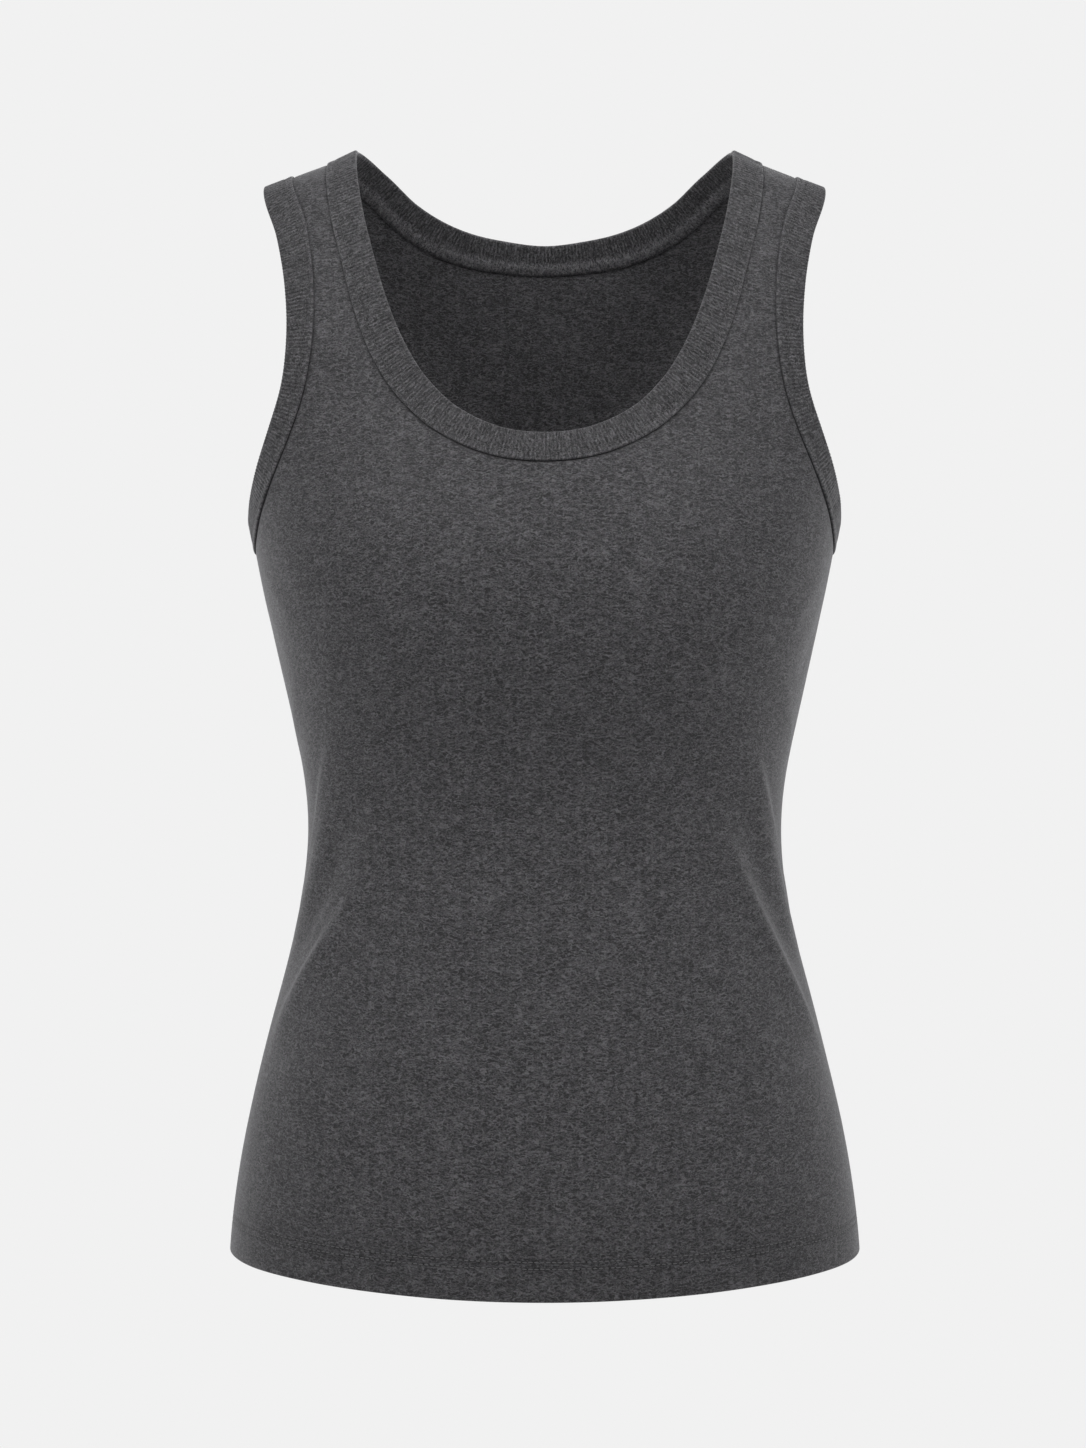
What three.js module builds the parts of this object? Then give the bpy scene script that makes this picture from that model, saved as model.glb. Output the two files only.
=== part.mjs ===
// Tank top: a jersey front and back sewn at the sides and shoulders, with rib bindings at neck and armholes.
// Millimetres. X runs to the right as seen from the front, Y to the back, Z up.
// The origin lies midway between the two points where the straps rest on the wearer's shoulders.

import * as THREE from "three";

// Cloth, seams and hem
const WALL = 1.2;
const BINDING = 2.4;
const SEAM_GAP = 0.3;
const HEM_Z = -563.5;
const HEM_DEPTH = 21;
const HEM_LEDGE = 0.6;
// The hem rises by this much from the middle of a panel to this angle, and its rise fades up to a height.
const HEM_RISE = 2.4;
const HEM_RISE_ANGLE = 60;
const HEM_RISE_TOP = -460;
// How far the folded edge of the neck binding stands off the sheet at the shoulder.
const NECK_STAND = 2.4;
const NECK_STAND_POWER = 4;

// Where the neck and the armholes reach down to
const FRONT_NECK_Z = -160.5;
const BACK_NECK_Z = -37.4;
const UNDERARM_Z = -197.5;

// Level sections of the inner face of the cloth, each a front and a back half ellipse: half of the width, and
// the depth to the front and to the back.
const SECTIONS = [
  { z: -600, half: 164, front: 112, back: 119 },
  { z: -563, half: 163.5, front: 112.5, back: 118 },
  { z: -520, half: 158.6, front: 112.5, back: 114.5 },
  { z: -475, half: 149.6, front: 109, back: 106 },
  { z: -430, half: 138.1, front: 103, back: 95 },
  { z: -385, half: 127, front: 96.5, back: 85.5 },
  { z: -345, half: 122.4, front: 93.5, back: 81 },
  { z: -305, half: 126.5, front: 98, back: 82 },
  { z: -265, half: 135.2, front: 109.5, back: 87.5 },
  { z: -225, half: 144, front: 116.5, back: 93.5 },
  { z: -190, half: 151.4, front: 112.5, back: 97 },
  { z: -150, half: 159.2, front: 100, back: 98.5 },
  { z: -100, half: 167.5, front: 91, back: 97 },
  { z: -50, half: 173.5, front: 90, back: 94 },
  { z: 15, half: 177.5, front: 92, back: 93 },
];

// The shoulder line falls from the neck outwards, through the height zero at the middle of the strap, and is
// rounded off over the middle of the neck.
const STRAP_MIDDLE = 122;
const SHOULDER_HALF = 176;
const SHOULDER_SLOPE = 0.4;
const SHOULDER_ROUND = 60;

// Above this height the front and back lean in and meet on the shoulder line. Below it the way counts down.
const ARCH_Z = -200;
const ARCH_BELOW = 300;
const ARCH_POWER = 2.4;

// Cut edges from their lowest point up to the shoulder: angle round from the middle of the panel, height,
// and width of the binding. The last row of each lies on the shoulder line.
const FRONT_NECK = [
  { angle: 0, z: FRONT_NECK_Z, band: 14.2 },
  { angle: 9.5, z: -157, band: 14.2 },
  { angle: 18.5, z: -145.3, band: 14.4 },
  { angle: 25, z: -129, band: 15.4 },
  { angle: 29.3, z: -111, band: 16.2 },
  { angle: 32.6, z: -87.5, band: 16.2 },
  { angle: 35.3, z: -57, band: 15.5 },
  { angle: 37.9, z: -25, band: 15.7 },
  { angle: 39, band: 15.5 },
];
const BACK_NECK = [
  { angle: 0, z: BACK_NECK_Z, band: 14.5 },
  { angle: 8.5, z: -35.9, band: 15.6 },
  { angle: 15, z: -33, band: 16.4 },
  { angle: 21, z: -27.2, band: 16.6 },
  { angle: 27, z: -17.4, band: 16 },
  { angle: 32.7, z: -4.6, band: 15.4 },
  { angle: 39, band: 15.5 },
];
const FRONT_ARMHOLE = [
  { angle: 90, z: UNDERARM_Z, band: 14 },
  { angle: 80, z: -192.8, band: 13.8 },
  { angle: 71.5, z: -182, band: 13.8 },
  { angle: 62.5, z: -166.3, band: 14.2 },
  { angle: 53.5, z: -144.5, band: 14.2 },
  { angle: 47.3, z: -121, band: 13.6 },
  { angle: 43.9, z: -94, band: 14.2 },
  { angle: 42.9, z: -64, band: 15.3 },
  { angle: 44.3, z: -34, band: 15.9 },
  { angle: 48.3, band: 15.2 },
];
const BACK_ARMHOLE = [
  { angle: 90, z: UNDERARM_Z, band: 14 },
  { angle: 80.4, z: -195, band: 13.8 },
  { angle: 71, z: -185, band: 13.8 },
  { angle: 62.7, z: -168, band: 14 },
  { angle: 55.5, z: -146, band: 14 },
  { angle: 50, z: -119, band: 14 },
  { angle: 47.1, z: -89, band: 14.2 },
  { angle: 46.5, z: -57, band: 14.8 },
  { angle: 47.1, z: -28, band: 15.2 },
  { angle: 48.3, band: 15.2 },
];
// A degree of angle counts as this many millimetres where a cut edge is rounded between its rows.
const DEGREE_LENGTH = 2;

// Largest folds, at the waist: angle round from the front middle and height of both ends, height of the fold
// (negative for a trough), and reach to each side.
const FOLDS = [
  { fromAngle: 50, fromZ: -290, toAngle: 84, toZ: -409, rise: 2.2, reach: 10.5 },
  { fromAngle: 50, fromZ: -322, toAngle: 78, toZ: -428, rise: -1.6, reach: 9 },
  { fromAngle: 44, fromZ: -338, toAngle: 77, toZ: -461, rise: 2, reach: 9 },
  { fromAngle: -50, fromZ: -286, toAngle: -82, toZ: -404, rise: 2.4, reach: 11 },
  { fromAngle: -48, fromZ: -324, toAngle: -78, toZ: -424, rise: -1.6, reach: 9 },
  { fromAngle: -43, fromZ: -360, toAngle: -76, toZ: -456, rise: 2, reach: 9 },
  { fromAngle: 138, fromZ: -296, toAngle: 102, toZ: -372, rise: 2, reach: 10 },
  { fromAngle: 136, fromZ: -340, toAngle: 106, toZ: -424, rise: 2.2, reach: 11 },
  { fromAngle: 140, fromZ: -318, toAngle: 104, toZ: -396, rise: -1.8, reach: 10 },
  { fromAngle: -132, fromZ: -290, toAngle: -99, toZ: -358, rise: 2, reach: 10 },
  { fromAngle: -139, fromZ: -330, toAngle: -104, toZ: -418, rise: 2.2, reach: 11 },
  { fromAngle: -137, fromZ: -308, toAngle: -102, toZ: -388, rise: -1.8, reach: 10 },
];
// A degree of angle round the waist, in millimetres.
const WAIST_DEGREE = 1.9;

// Steps of the walls: rows of the body up to each height, rows beside an armhole, and columns of half a panel
const BODY_ROWS = [
  { to: HEM_Z + HEM_DEPTH, rows: 2 },
  { to: HEM_Z + HEM_DEPTH + HEM_LEDGE, rows: 1 },
  { to: HEM_RISE_TOP, rows: 6 },
  { to: -300, rows: 17 },
  { to: UNDERARM_Z, rows: 8 },
];
const ARMHOLE_ROWS = 20;
const BACK_NECK_ROWS = 11;
const HALF_COLUMNS = 14;
// Points between two rows of a cut edge's table.
const CURVE_STEPS = 24;
// Up to this height the rows of the body are level. Above it they rise towards the middle, and sag between
// the neck and the underarm.
const LEVEL_Z = -330;
const ROW_SAG = 30;

// Section of a binding, from its folded edge to its seam: place across it, and share of its thickness.
const BINDING_SECTION = [
  { across: 0, share: 0.5 },
  { across: 0.08, share: 0.95 },
  { across: 0.5, share: 1 },
  { across: 1, share: 0.85 },
];

const JERSEY = { color: 0x484849, roughness: 0.95, metalness: 0 };
const RIB = { color: 0x4c4c4d, roughness: 0.95, metalness: 0 };

const SIDE_ANGLE = Math.PI / 2;
const SHOULDER_WAY = 1;
const NUDGE = 1e-4;

const radians = THREE.MathUtils.degToRad;
const degrees = THREE.MathUtils.radToDeg;

// A natural cubic spline through one column of a table, as a function of height.
function splineOf(rows, column) {
  const z = rows.map((row) => row.z);
  const value = rows.map((row) => row[column]);
  const last = rows.length - 1;
  const bend = new Array(rows.length).fill(0);
  const share = new Array(rows.length).fill(0);
  for (let i = 1; i < last; i++) {
    const before = z[i] - z[i - 1];
    const after = z[i + 1] - z[i];
    const turn = 6 * ((value[i + 1] - value[i]) / after - (value[i] - value[i - 1]) / before);
    const pivot = 2 * (before + after) - before * share[i - 1];
    share[i] = after / pivot;
    bend[i] = (turn - before * bend[i - 1]) / pivot;
  }
  for (let i = last - 1; i > 0; i--) bend[i] -= share[i] * bend[i + 1];
  return (height) => {
    let i = 0;
    while (i < last - 1 && z[i + 1] < height) i++;
    const gap = z[i + 1] - z[i];
    const up = z[i + 1] - height;
    const down = height - z[i];
    const curved = (bend[i] * up ** 3 + bend[i + 1] * down ** 3) / (6 * gap);
    const fromBelow = (value[i] / gap - (bend[i] * gap) / 6) * up;
    const fromAbove = (value[i + 1] / gap - (bend[i + 1] * gap) / 6) * down;
    return curved + fromBelow + fromAbove;
  };
}

const halfWidth = splineOf(SECTIONS, "half");
const frontDepth = splineOf(SECTIONS, "front");
const backDepth = splineOf(SECTIONS, "back");

// Height of the shoulder line at an angle.
function shoulderZ(angle) {
  const rounded = (out) => SHOULDER_SLOPE * Math.hypot(out, SHOULDER_ROUND);
  return rounded(STRAP_MIDDLE) - rounded(SHOULDER_HALF * Math.sin(angle));
}

// A point of the inner face. The way is negative below the arch, 1 on the shoulder line, and past 1 it runs
// down the back, so that the front and the back are one sheet.
function sheetPoint(angle, way) {
  const isBack = way > SHOULDER_WAY;
  const up = isBack ? 2 - way : way;
  const rise = Math.sin((Math.PI / 2) * Math.max(up, 0));
  const z = ARCH_Z + (up > 0 ? (shoulderZ(angle) - ARCH_Z) * rise : ARCH_BELOW * up);
  const lean = Math.sqrt(Math.max(1 - rise ** ARCH_POWER, 0));
  const depth = isBack ? backDepth(z) : -frontDepth(z);
  return new THREE.Vector3(halfWidth(z) * Math.sin(angle), depth * Math.cos(angle) * lean, z);
}

// The way of the front or back that lies at a height.
function wayAt(angle, z, isBack) {
  const share = Math.min((z - ARCH_Z) / (shoulderZ(angle) - ARCH_Z), 1);
  const up = z < ARCH_Z ? (z - ARCH_Z) / ARCH_BELOW : (2 / Math.PI) * Math.asin(share);
  return isBack ? 2 - up : up;
}

function sheetNormal(angle, way) {
  const around = sheetPoint(angle + NUDGE, way).sub(sheetPoint(angle - NUDGE, way));
  const along = sheetPoint(angle, way + NUDGE).sub(sheetPoint(angle, way - NUDGE));
  return around.cross(along).normalize();
}

// How far the folds lift the cloth at a place of the sheet.
function foldLift(angle, way, z) {
  const isBack = way > SHOULDER_WAY;
  const turn = degrees(isBack ? Math.sign(angle) * Math.PI - angle : angle);
  let lift = 0;
  for (const fold of FOLDS) {
    const along = new THREE.Vector2((fold.toAngle - fold.fromAngle) * WAIST_DEGREE, fold.toZ - fold.fromZ);
    const place = new THREE.Vector2((turn - fold.fromAngle) * WAIST_DEGREE, z - fold.fromZ);
    const share = place.dot(along) / along.lengthSq();
    if (share <= 0 || share >= 1) continue;
    const beside = place.cross(along) / along.length();
    lift += fold.rise * Math.sin(Math.PI * share) * Math.exp(-((beside / fold.reach) ** 2));
  }
  return lift;
}

// The sheet's point moved out by its folds and by a distance of its own.
function clothPoint(angle, way, out) {
  const point = sheetPoint(angle, way);
  const lift = out + foldLift(angle, way, point.z);
  return point.addScaledVector(sheetNormal(angle, way), lift);
}

// The smooth curve through the rows of a cut edge as closely spaced stations. It starts square to the middle
// or side line and ends square to the shoulder line.
function edgeCurve(rows, isBack) {
  const knots = rows.map((row) => {
    const z = row.z ?? shoulderZ(radians(row.angle));
    return new THREE.Vector3(row.angle * DEGREE_LENGTH, z, row.band);
  });
  const length = [0];
  for (let i = 1; i < knots.length; i++) {
    length.push(length[i - 1] + knots[i].distanceTo(knots[i - 1]));
  }
  const slopes = knots.map((_, i) => {
    const before = Math.max(i - 1, 0);
    const after = Math.min(i + 1, knots.length - 1);
    return knots[after].clone().sub(knots[before]).divideScalar(length[after] - length[before]);
  });
  slopes[0].set(Math.sign(slopes[0].x), 0, 0);
  slopes[knots.length - 1].set(0, 1, 0);
  const stations = [];
  for (let i = 0; i < knots.length - 1; i++) {
    const span = length[i + 1] - length[i];
    for (let step = i ? 1 : 0; step <= CURVE_STEPS; step++) {
      const w = step / CURVE_STEPS;
      const place = knots[i].clone().multiplyScalar((1 + 2 * w) * (1 - w) ** 2);
      place.addScaledVector(slopes[i], span * w * (1 - w) ** 2);
      place.addScaledVector(knots[i + 1], w * w * (3 - 2 * w));
      place.addScaledVector(slopes[i + 1], -span * w * w * (1 - w));
      const angle = radians(place.x / DEGREE_LENGTH);
      stations.push({ angle, way: wayAt(angle, place.y, isBack), band: place.z });
    }
  }
  stations[stations.length - 1].way = SHOULDER_WAY;
  return stations;
}

// Stations at even steps of length along a cut edge.
function edgeSteps(rows, steps, isBack) {
  const curve = edgeCurve(rows, isBack);
  const points = curve.map(({ angle, way }) => sheetPoint(angle, way));
  const length = [0];
  for (let i = 1; i < points.length; i++) {
    length.push(length[i - 1] + points[i].distanceTo(points[i - 1]));
  }
  const total = length[length.length - 1];
  const stations = [];
  for (let step = 0; step <= steps; step++) {
    const at = (total * step) / steps;
    let i = 0;
    while (i < curve.length - 2 && length[i + 1] < at) i++;
    const w = (at - length[i]) / (length[i + 1] - length[i]);
    stations.push({
      angle: THREE.MathUtils.lerp(curve[i].angle, curve[i + 1].angle, w),
      way: THREE.MathUtils.lerp(curve[i].way, curve[i + 1].way, w),
      band: THREE.MathUtils.lerp(curve[i].band, curve[i + 1].band, w),
    });
  }
  return stations;
}

const frontNeck = edgeSteps(FRONT_NECK, ARMHOLE_ROWS, false);
const backNeck = edgeSteps(BACK_NECK, BACK_NECK_ROWS, true);
const frontArmhole = edgeSteps(FRONT_ARMHOLE, ARMHOLE_ROWS, false);
const backArmhole = edgeSteps(BACK_ARMHOLE, ARMHOLE_ROWS, true);

// Heights of the rows of the body, from the hem to the underarm.
function bodyHeights() {
  const heights = [HEM_Z];
  for (const stretch of BODY_ROWS) {
    const from = heights[heights.length - 1];
    for (let row = 1; row <= stretch.rows; row++) {
      heights.push(from + ((stretch.to - from) * row) / stretch.rows);
    }
  }
  return heights;
}

// A geometry from points and triangles.
function geometryOf(points, index) {
  const geometry = new THREE.BufferGeometry().setFromPoints(points);
  geometry.setIndex(index);
  geometry.computeVertexNormals();
  return geometry;
}

// A closed wall from the matching points of its two faces and the four-sided cells of its outer face.
function wallOf(outer, inner, cells) {
  const shift = outer.length;
  const index = [];
  const rim = new Map();
  for (const [a, b, c, d] of cells) {
    index.push(a, b, c, a, c, d);
    index.push(shift + a, shift + c, shift + b, shift + a, shift + d, shift + c);
    for (const [from, to] of [[a, b], [b, c], [c, d], [d, a]]) {
      if (!rim.delete(`${to} ${from}`)) rim.set(`${from} ${to}`, [from, to]);
    }
  }
  for (const [from, to] of rim.values()) {
    index.push(to, from, shift + from, to, shift + from, shift + to);
  }
  return geometryOf([...outer, ...inner], index);
}

// The two ends of each row of half a panel, from the hem to the shoulder: on the middle line and then the
// neck, and on the side line and then the armhole. With them go each row's shares of the sag and hem's rise.
function panelSides(isBack) {
  const heights = bodyHeights();
  const neckZ = isBack ? BACK_NECK_Z : FRONT_NECK_Z;
  const neck = (isBack ? backNeck : frontNeck).slice(1);
  const armhole = (isBack ? backArmhole : frontArmhole).slice(1);
  const raised = heights.map((z) => THREE.MathUtils.smoothstep(z, LEVEL_Z, UNDERARM_Z));
  const middleZ = heights.map((z, row) => z + raised[row] * (FRONT_NECK_Z - UNDERARM_Z));
  const rowsToNeck = armhole.length - neck.length;
  for (let row = 1; row <= rowsToNeck; row++) {
    middleZ.push(THREE.MathUtils.lerp(FRONT_NECK_Z, neckZ, row / rowsToNeck));
  }
  const middle = middleZ.map((z) => ({ angle: 0, way: wayAt(0, z, isBack) }));
  const sideDepth = (isBack ? backDepth : frontDepth)(UNDERARM_Z);
  const sideAngle = SIDE_ANGLE - SEAM_GAP / 2 / sideDepth;
  const side = heights.map((z) => ({ angle: sideAngle, way: wayAt(sideAngle, z, isBack) }));
  const fading = armhole.map((_, row) => (1 - (row + 1) / armhole.length) ** 2);
  return {
    inside: [...middle, ...neck],
    outside: [...side, ...armhole],
    sagging: [...raised, ...fading],
    rising: heights.map((z) => 1 - THREE.MathUtils.smoothstep(z, HEM_Z, HEM_RISE_TOP)),
    middleRows: middle.length,
  };
}

// The way of a panel's top edge, half of a seam gap short of the shoulder line.
function topEdgeWay(isBack) {
  const strapDepth = backDepth(0) * Math.cos(radians(FRONT_NECK[FRONT_NECK.length - 1].angle));
  const runPerWay = strapDepth * Math.sqrt(ARCH_POWER / 2) * (Math.PI / 2);
  return SHOULDER_WAY + ((isBack ? 1 : -1) * SEAM_GAP) / 2 / runPerWay;
}

// A front or back panel of two halves that share the middle line. The hem is turned up inside, so the wall is
// double there.
function panelGeometry(isBack) {
  const { inside, outside, sagging, rising, middleRows } = panelSides(isBack);
  const topRow = inside.length - 1;
  const down = isBack ? 1 : -1;
  const outer = [];
  const inner = [];
  const addRow = (row, half) => {
    const sag = (down * ROW_SAG * sagging[row]) / ARCH_BELOW;
    const rise = (-down * HEM_RISE * (rising[row] ?? 0)) / ARCH_BELOW;
    const innerLift = row <= BODY_ROWS[0].rows ? -WALL : 0;
    const ids = [];
    for (let column = 0; column <= HALF_COLUMNS; column++) {
      const w = column / HALF_COLUMNS;
      const angle = THREE.MathUtils.lerp(inside[row].angle, outside[row].angle, w) * half;
      const straight = THREE.MathUtils.lerp(inside[row].way, outside[row].way, w);
      const aside = THREE.MathUtils.smoothstep(Math.abs(degrees(angle)), 0, HEM_RISE_ANGLE);
      const moved = straight + sag * 4 * w * (1 - w) + rise * aside;
      const way = row === topRow ? topEdgeWay(isBack) : moved;
      ids.push(outer.length);
      outer.push(clothPoint(angle, way, WALL));
      inner.push(clothPoint(angle, way, innerLift));
    }
    return ids;
  };
  const right = inside.map((_, row) => addRow(row, 1));
  const left = inside.map((_, row) => addRow(row, -1));
  for (let row = 0; row < middleRows; row++) left[row][0] = right[row][0];

  const cells = [];
  const addCells = (rows, turned) => {
    for (let row = 0; row < topRow; row++) {
      for (let column = 0; column < HALF_COLUMNS; column++) {
        const below = [rows[row][column], rows[row][column + 1]];
        const above = [rows[row + 1][column + 1], rows[row + 1][column]];
        const cell = [...below, ...above];
        cells.push(turned ? cell.reverse() : cell);
      }
    }
  };
  addCells(right, isBack);
  addCells(left, !isBack);
  return wallOf(outer, inner, cells);
}

// The closed ring of a binding along a cut edge. It lies edge to edge with the panels, a seam gap away, and
// stands a little proud of both of their faces. Side is 1 where the open side lies to the left of the way
// along the ring, as seen from outside, and -1 where it lies to the right.
function bindingGeometry(stations, side) {
  const count = stations.length;
  const seam = stations.map(({ angle, way }) => sheetPoint(angle, way));
  const points = [];
  stations.forEach(({ angle, way, band, stand = 0 }, k) => {
    const normal = sheetNormal(angle, way);
    const along = seam[(k + 1) % count].clone().sub(seam[(k + count - 1) % count]);
    const across = normal.clone().cross(along).normalize().multiplyScalar(side);
    const place = (row, face) => {
      const reach = SEAM_GAP + (1 - row.across) * (band - SEAM_GAP);
      const out = WALL / 2 + (face * row.share * BINDING) / 2 + (1 - row.across) * stand;
      return seam[k].clone().addScaledVector(across, reach).addScaledVector(normal, out);
    };
    BINDING_SECTION.forEach((row) => points.push(place(row, 1)));
    BINDING_SECTION.toReversed().forEach((row) => points.push(place(row, -1)));
  });
  const sides = 2 * BINDING_SECTION.length;
  const index = [];
  for (let k = 0; k < count; k++) {
    for (let m = 0; m < sides; m++) {
      const a = k * sides + m;
      const b = k * sides + ((m + 1) % sides);
      const c = ((k + 1) % count) * sides + ((m + 1) % sides);
      const d = ((k + 1) % count) * sides + m;
      if (side > 0) index.push(a, b, c, a, c, d);
      else index.push(a, c, b, a, d, c);
    }
  }
  return geometryOf(points, index);
}

const mirrored = (stations) => stations.map((station) => ({ ...station, angle: -station.angle }));

// The neck ring: across the front from left to right, over the right shoulder, and back along the back. It
// stands up towards the shoulders.
function neckStations() {
  const front = [...mirrored(frontNeck).reverse(), ...frontNeck.slice(1)];
  const back = [...backNeck.slice(0, -1).reverse(), ...mirrored(backNeck).slice(1, -1)];
  return [...front, ...back].map((station) => {
    const up = station.way > SHOULDER_WAY ? 2 - station.way : station.way;
    return { ...station, stand: NECK_STAND * up ** NECK_STAND_POWER };
  });
}

// An armhole ring: from the underarm up the front, over the shoulder, and down the back.
function armholeStations(half) {
  const ring = [...frontArmhole, ...backArmhole.slice(1, -1).reverse()];
  return half > 0 ? ring : mirrored(ring);
}

function addPiece(group, name, geometry, finish) {
  const mesh = new THREE.Mesh(geometry, new THREE.MeshStandardMaterial(finish));
  mesh.name = name;
  group.add(mesh);
}

const tankTop = new THREE.Group();
addPiece(tankTop, "front_panel", panelGeometry(false), JERSEY);
addPiece(tankTop, "back_panel", panelGeometry(true), JERSEY);
addPiece(tankTop, "neck_binding", bindingGeometry(neckStations(), 1), RIB);
addPiece(tankTop, "armhole_binding_left", bindingGeometry(armholeStations(-1), 1), RIB);
addPiece(tankTop, "armhole_binding_right", bindingGeometry(armholeStations(1), -1), RIB);

export default tankTop;
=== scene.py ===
"""Charcoal heather tank top, filled out with no wearer.

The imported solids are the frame. Around them the script makes the front and the back as thin shells of jersey with
their creases and turned-up hems, the rib bindings folded over the neck and the armholes, the inside seam
allowances and every stitch. Metres, +Z up, +X to the right as seen from the front.
"""

import logging
import math
from dataclasses import dataclass, field
from enum import Enum

import bpy
import numpy as np
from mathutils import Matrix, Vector


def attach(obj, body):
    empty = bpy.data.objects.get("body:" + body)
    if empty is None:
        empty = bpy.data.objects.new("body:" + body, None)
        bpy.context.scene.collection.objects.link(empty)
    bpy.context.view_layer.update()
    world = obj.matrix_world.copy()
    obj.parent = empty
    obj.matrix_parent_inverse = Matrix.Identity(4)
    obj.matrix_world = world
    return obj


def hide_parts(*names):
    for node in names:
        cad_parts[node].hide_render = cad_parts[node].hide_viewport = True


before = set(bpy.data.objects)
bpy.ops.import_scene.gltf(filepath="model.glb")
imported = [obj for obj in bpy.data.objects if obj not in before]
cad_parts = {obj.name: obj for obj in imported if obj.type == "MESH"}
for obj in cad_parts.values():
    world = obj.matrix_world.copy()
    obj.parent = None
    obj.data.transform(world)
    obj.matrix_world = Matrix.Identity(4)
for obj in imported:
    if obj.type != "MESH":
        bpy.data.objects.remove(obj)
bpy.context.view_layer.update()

log = logging.getLogger("tank_top")

Array = np.ndarray
BODY = "root"
SEED = 7
NUDGE = 1e-4
MILLIMETRE = 0.001

# Cloth and sewing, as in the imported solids
WALL = 0.0012
SEAM_GAP = 0.0003
HEM_Z = -0.5635
HEM_DEPTH = 0.021
HEM_RISE = 0.0024
HEM_RISE_ANGLE = math.radians(60)
HEM_RISE_TOP = -0.460
FRONT_NECK_Z = -0.1605
BACK_NECK_Z = -0.0374
UNDERARM_Z = -0.1975
NECK_STAND = 0.0018
NECK_STAND_POWER = 4


class Slot(Enum):
    """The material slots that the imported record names."""

    JERSEY = "jersey"
    RIB = "rib"


@dataclass(frozen=True)
class Section:
    """A level section of the cloth's inner face, a front and a back half ellipse."""

    z: float
    half: float
    front: float
    back: float


SECTIONS = (
    Section(-0.600, 0.1640, 0.1120, 0.1190),
    Section(-0.563, 0.1635, 0.1125, 0.1180),
    Section(-0.520, 0.1586, 0.1125, 0.1145),
    Section(-0.475, 0.1496, 0.1090, 0.1060),
    Section(-0.430, 0.1381, 0.1030, 0.0950),
    Section(-0.385, 0.1270, 0.0965, 0.0855),
    Section(-0.345, 0.1224, 0.0935, 0.0810),
    Section(-0.305, 0.1265, 0.0980, 0.0820),
    Section(-0.265, 0.1352, 0.1095, 0.0875),
    Section(-0.225, 0.1440, 0.1165, 0.0935),
    Section(-0.190, 0.1514, 0.1125, 0.0970),
    Section(-0.150, 0.1592, 0.1000, 0.0985),
    Section(-0.100, 0.1675, 0.0910, 0.0970),
    Section(-0.050, 0.1735, 0.0900, 0.0940),
    Section(0.015, 0.1775, 0.0920, 0.0930),
)


@dataclass(frozen=True)
class EdgeRow:
    """A row of a cut edge: degrees round from the panel's middle, height, and width of its binding.

    A row with no height lies on the shoulder line.
    """

    angle: float
    band: float
    z: float | None = None


FRONT_NECK = (
    EdgeRow(0.0, 0.0142, FRONT_NECK_Z),
    EdgeRow(9.5, 0.0142, -0.1570),
    EdgeRow(18.5, 0.0144, -0.1453),
    EdgeRow(25.0, 0.0154, -0.1290),
    EdgeRow(29.3, 0.0162, -0.1110),
    EdgeRow(32.6, 0.0162, -0.0875),
    EdgeRow(35.3, 0.0155, -0.0570),
    EdgeRow(37.9, 0.0157, -0.0250),
    EdgeRow(39.0, 0.0155),
)
BACK_NECK = (
    EdgeRow(0.0, 0.0145, BACK_NECK_Z),
    EdgeRow(8.5, 0.0156, -0.0359),
    EdgeRow(15.0, 0.0164, -0.0330),
    EdgeRow(21.0, 0.0166, -0.0272),
    EdgeRow(27.0, 0.0160, -0.0174),
    EdgeRow(32.7, 0.0154, -0.0046),
    EdgeRow(39.0, 0.0155),
)
FRONT_ARMHOLE = (
    EdgeRow(90.0, 0.0140, UNDERARM_Z),
    EdgeRow(80.0, 0.0138, -0.1928),
    EdgeRow(71.5, 0.0138, -0.1820),
    EdgeRow(62.5, 0.0142, -0.1663),
    EdgeRow(53.5, 0.0142, -0.1445),
    EdgeRow(47.3, 0.0136, -0.1210),
    EdgeRow(43.9, 0.0142, -0.0940),
    EdgeRow(42.9, 0.0153, -0.0640),
    EdgeRow(44.3, 0.0159, -0.0340),
    EdgeRow(48.3, 0.0152),
)
BACK_ARMHOLE = (
    EdgeRow(90.0, 0.0140, UNDERARM_Z),
    EdgeRow(80.4, 0.0138, -0.1950),
    EdgeRow(71.0, 0.0138, -0.1850),
    EdgeRow(62.7, 0.0140, -0.1680),
    EdgeRow(55.5, 0.0140, -0.1460),
    EdgeRow(50.0, 0.0140, -0.1190),
    EdgeRow(47.1, 0.0142, -0.0890),
    EdgeRow(46.5, 0.0148, -0.0570),
    EdgeRow(47.1, 0.0152, -0.0280),
    EdgeRow(48.3, 0.0152),
)
# A degree of angle counts as this length where a cut edge is rounded between its rows.
DEGREE_LENGTH = 0.002
CURVE_STEPS = 24


@dataclass(frozen=True)
class Crease:
    """A soft crease of the cloth, as a ridge or, with a negative rise, a trough.

    Its ends are given in degrees round from the front middle, with the right side at 90 and the back middle at 180,
    and as heights. The bow moves its middle sideways, and the lean makes one flank steeper than the other.
    """

    from_angle: float
    from_z: float
    to_angle: float
    to_z: float
    rise: float
    reach: float
    bow: float = 0.0
    lean: float = 0.0


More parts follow.
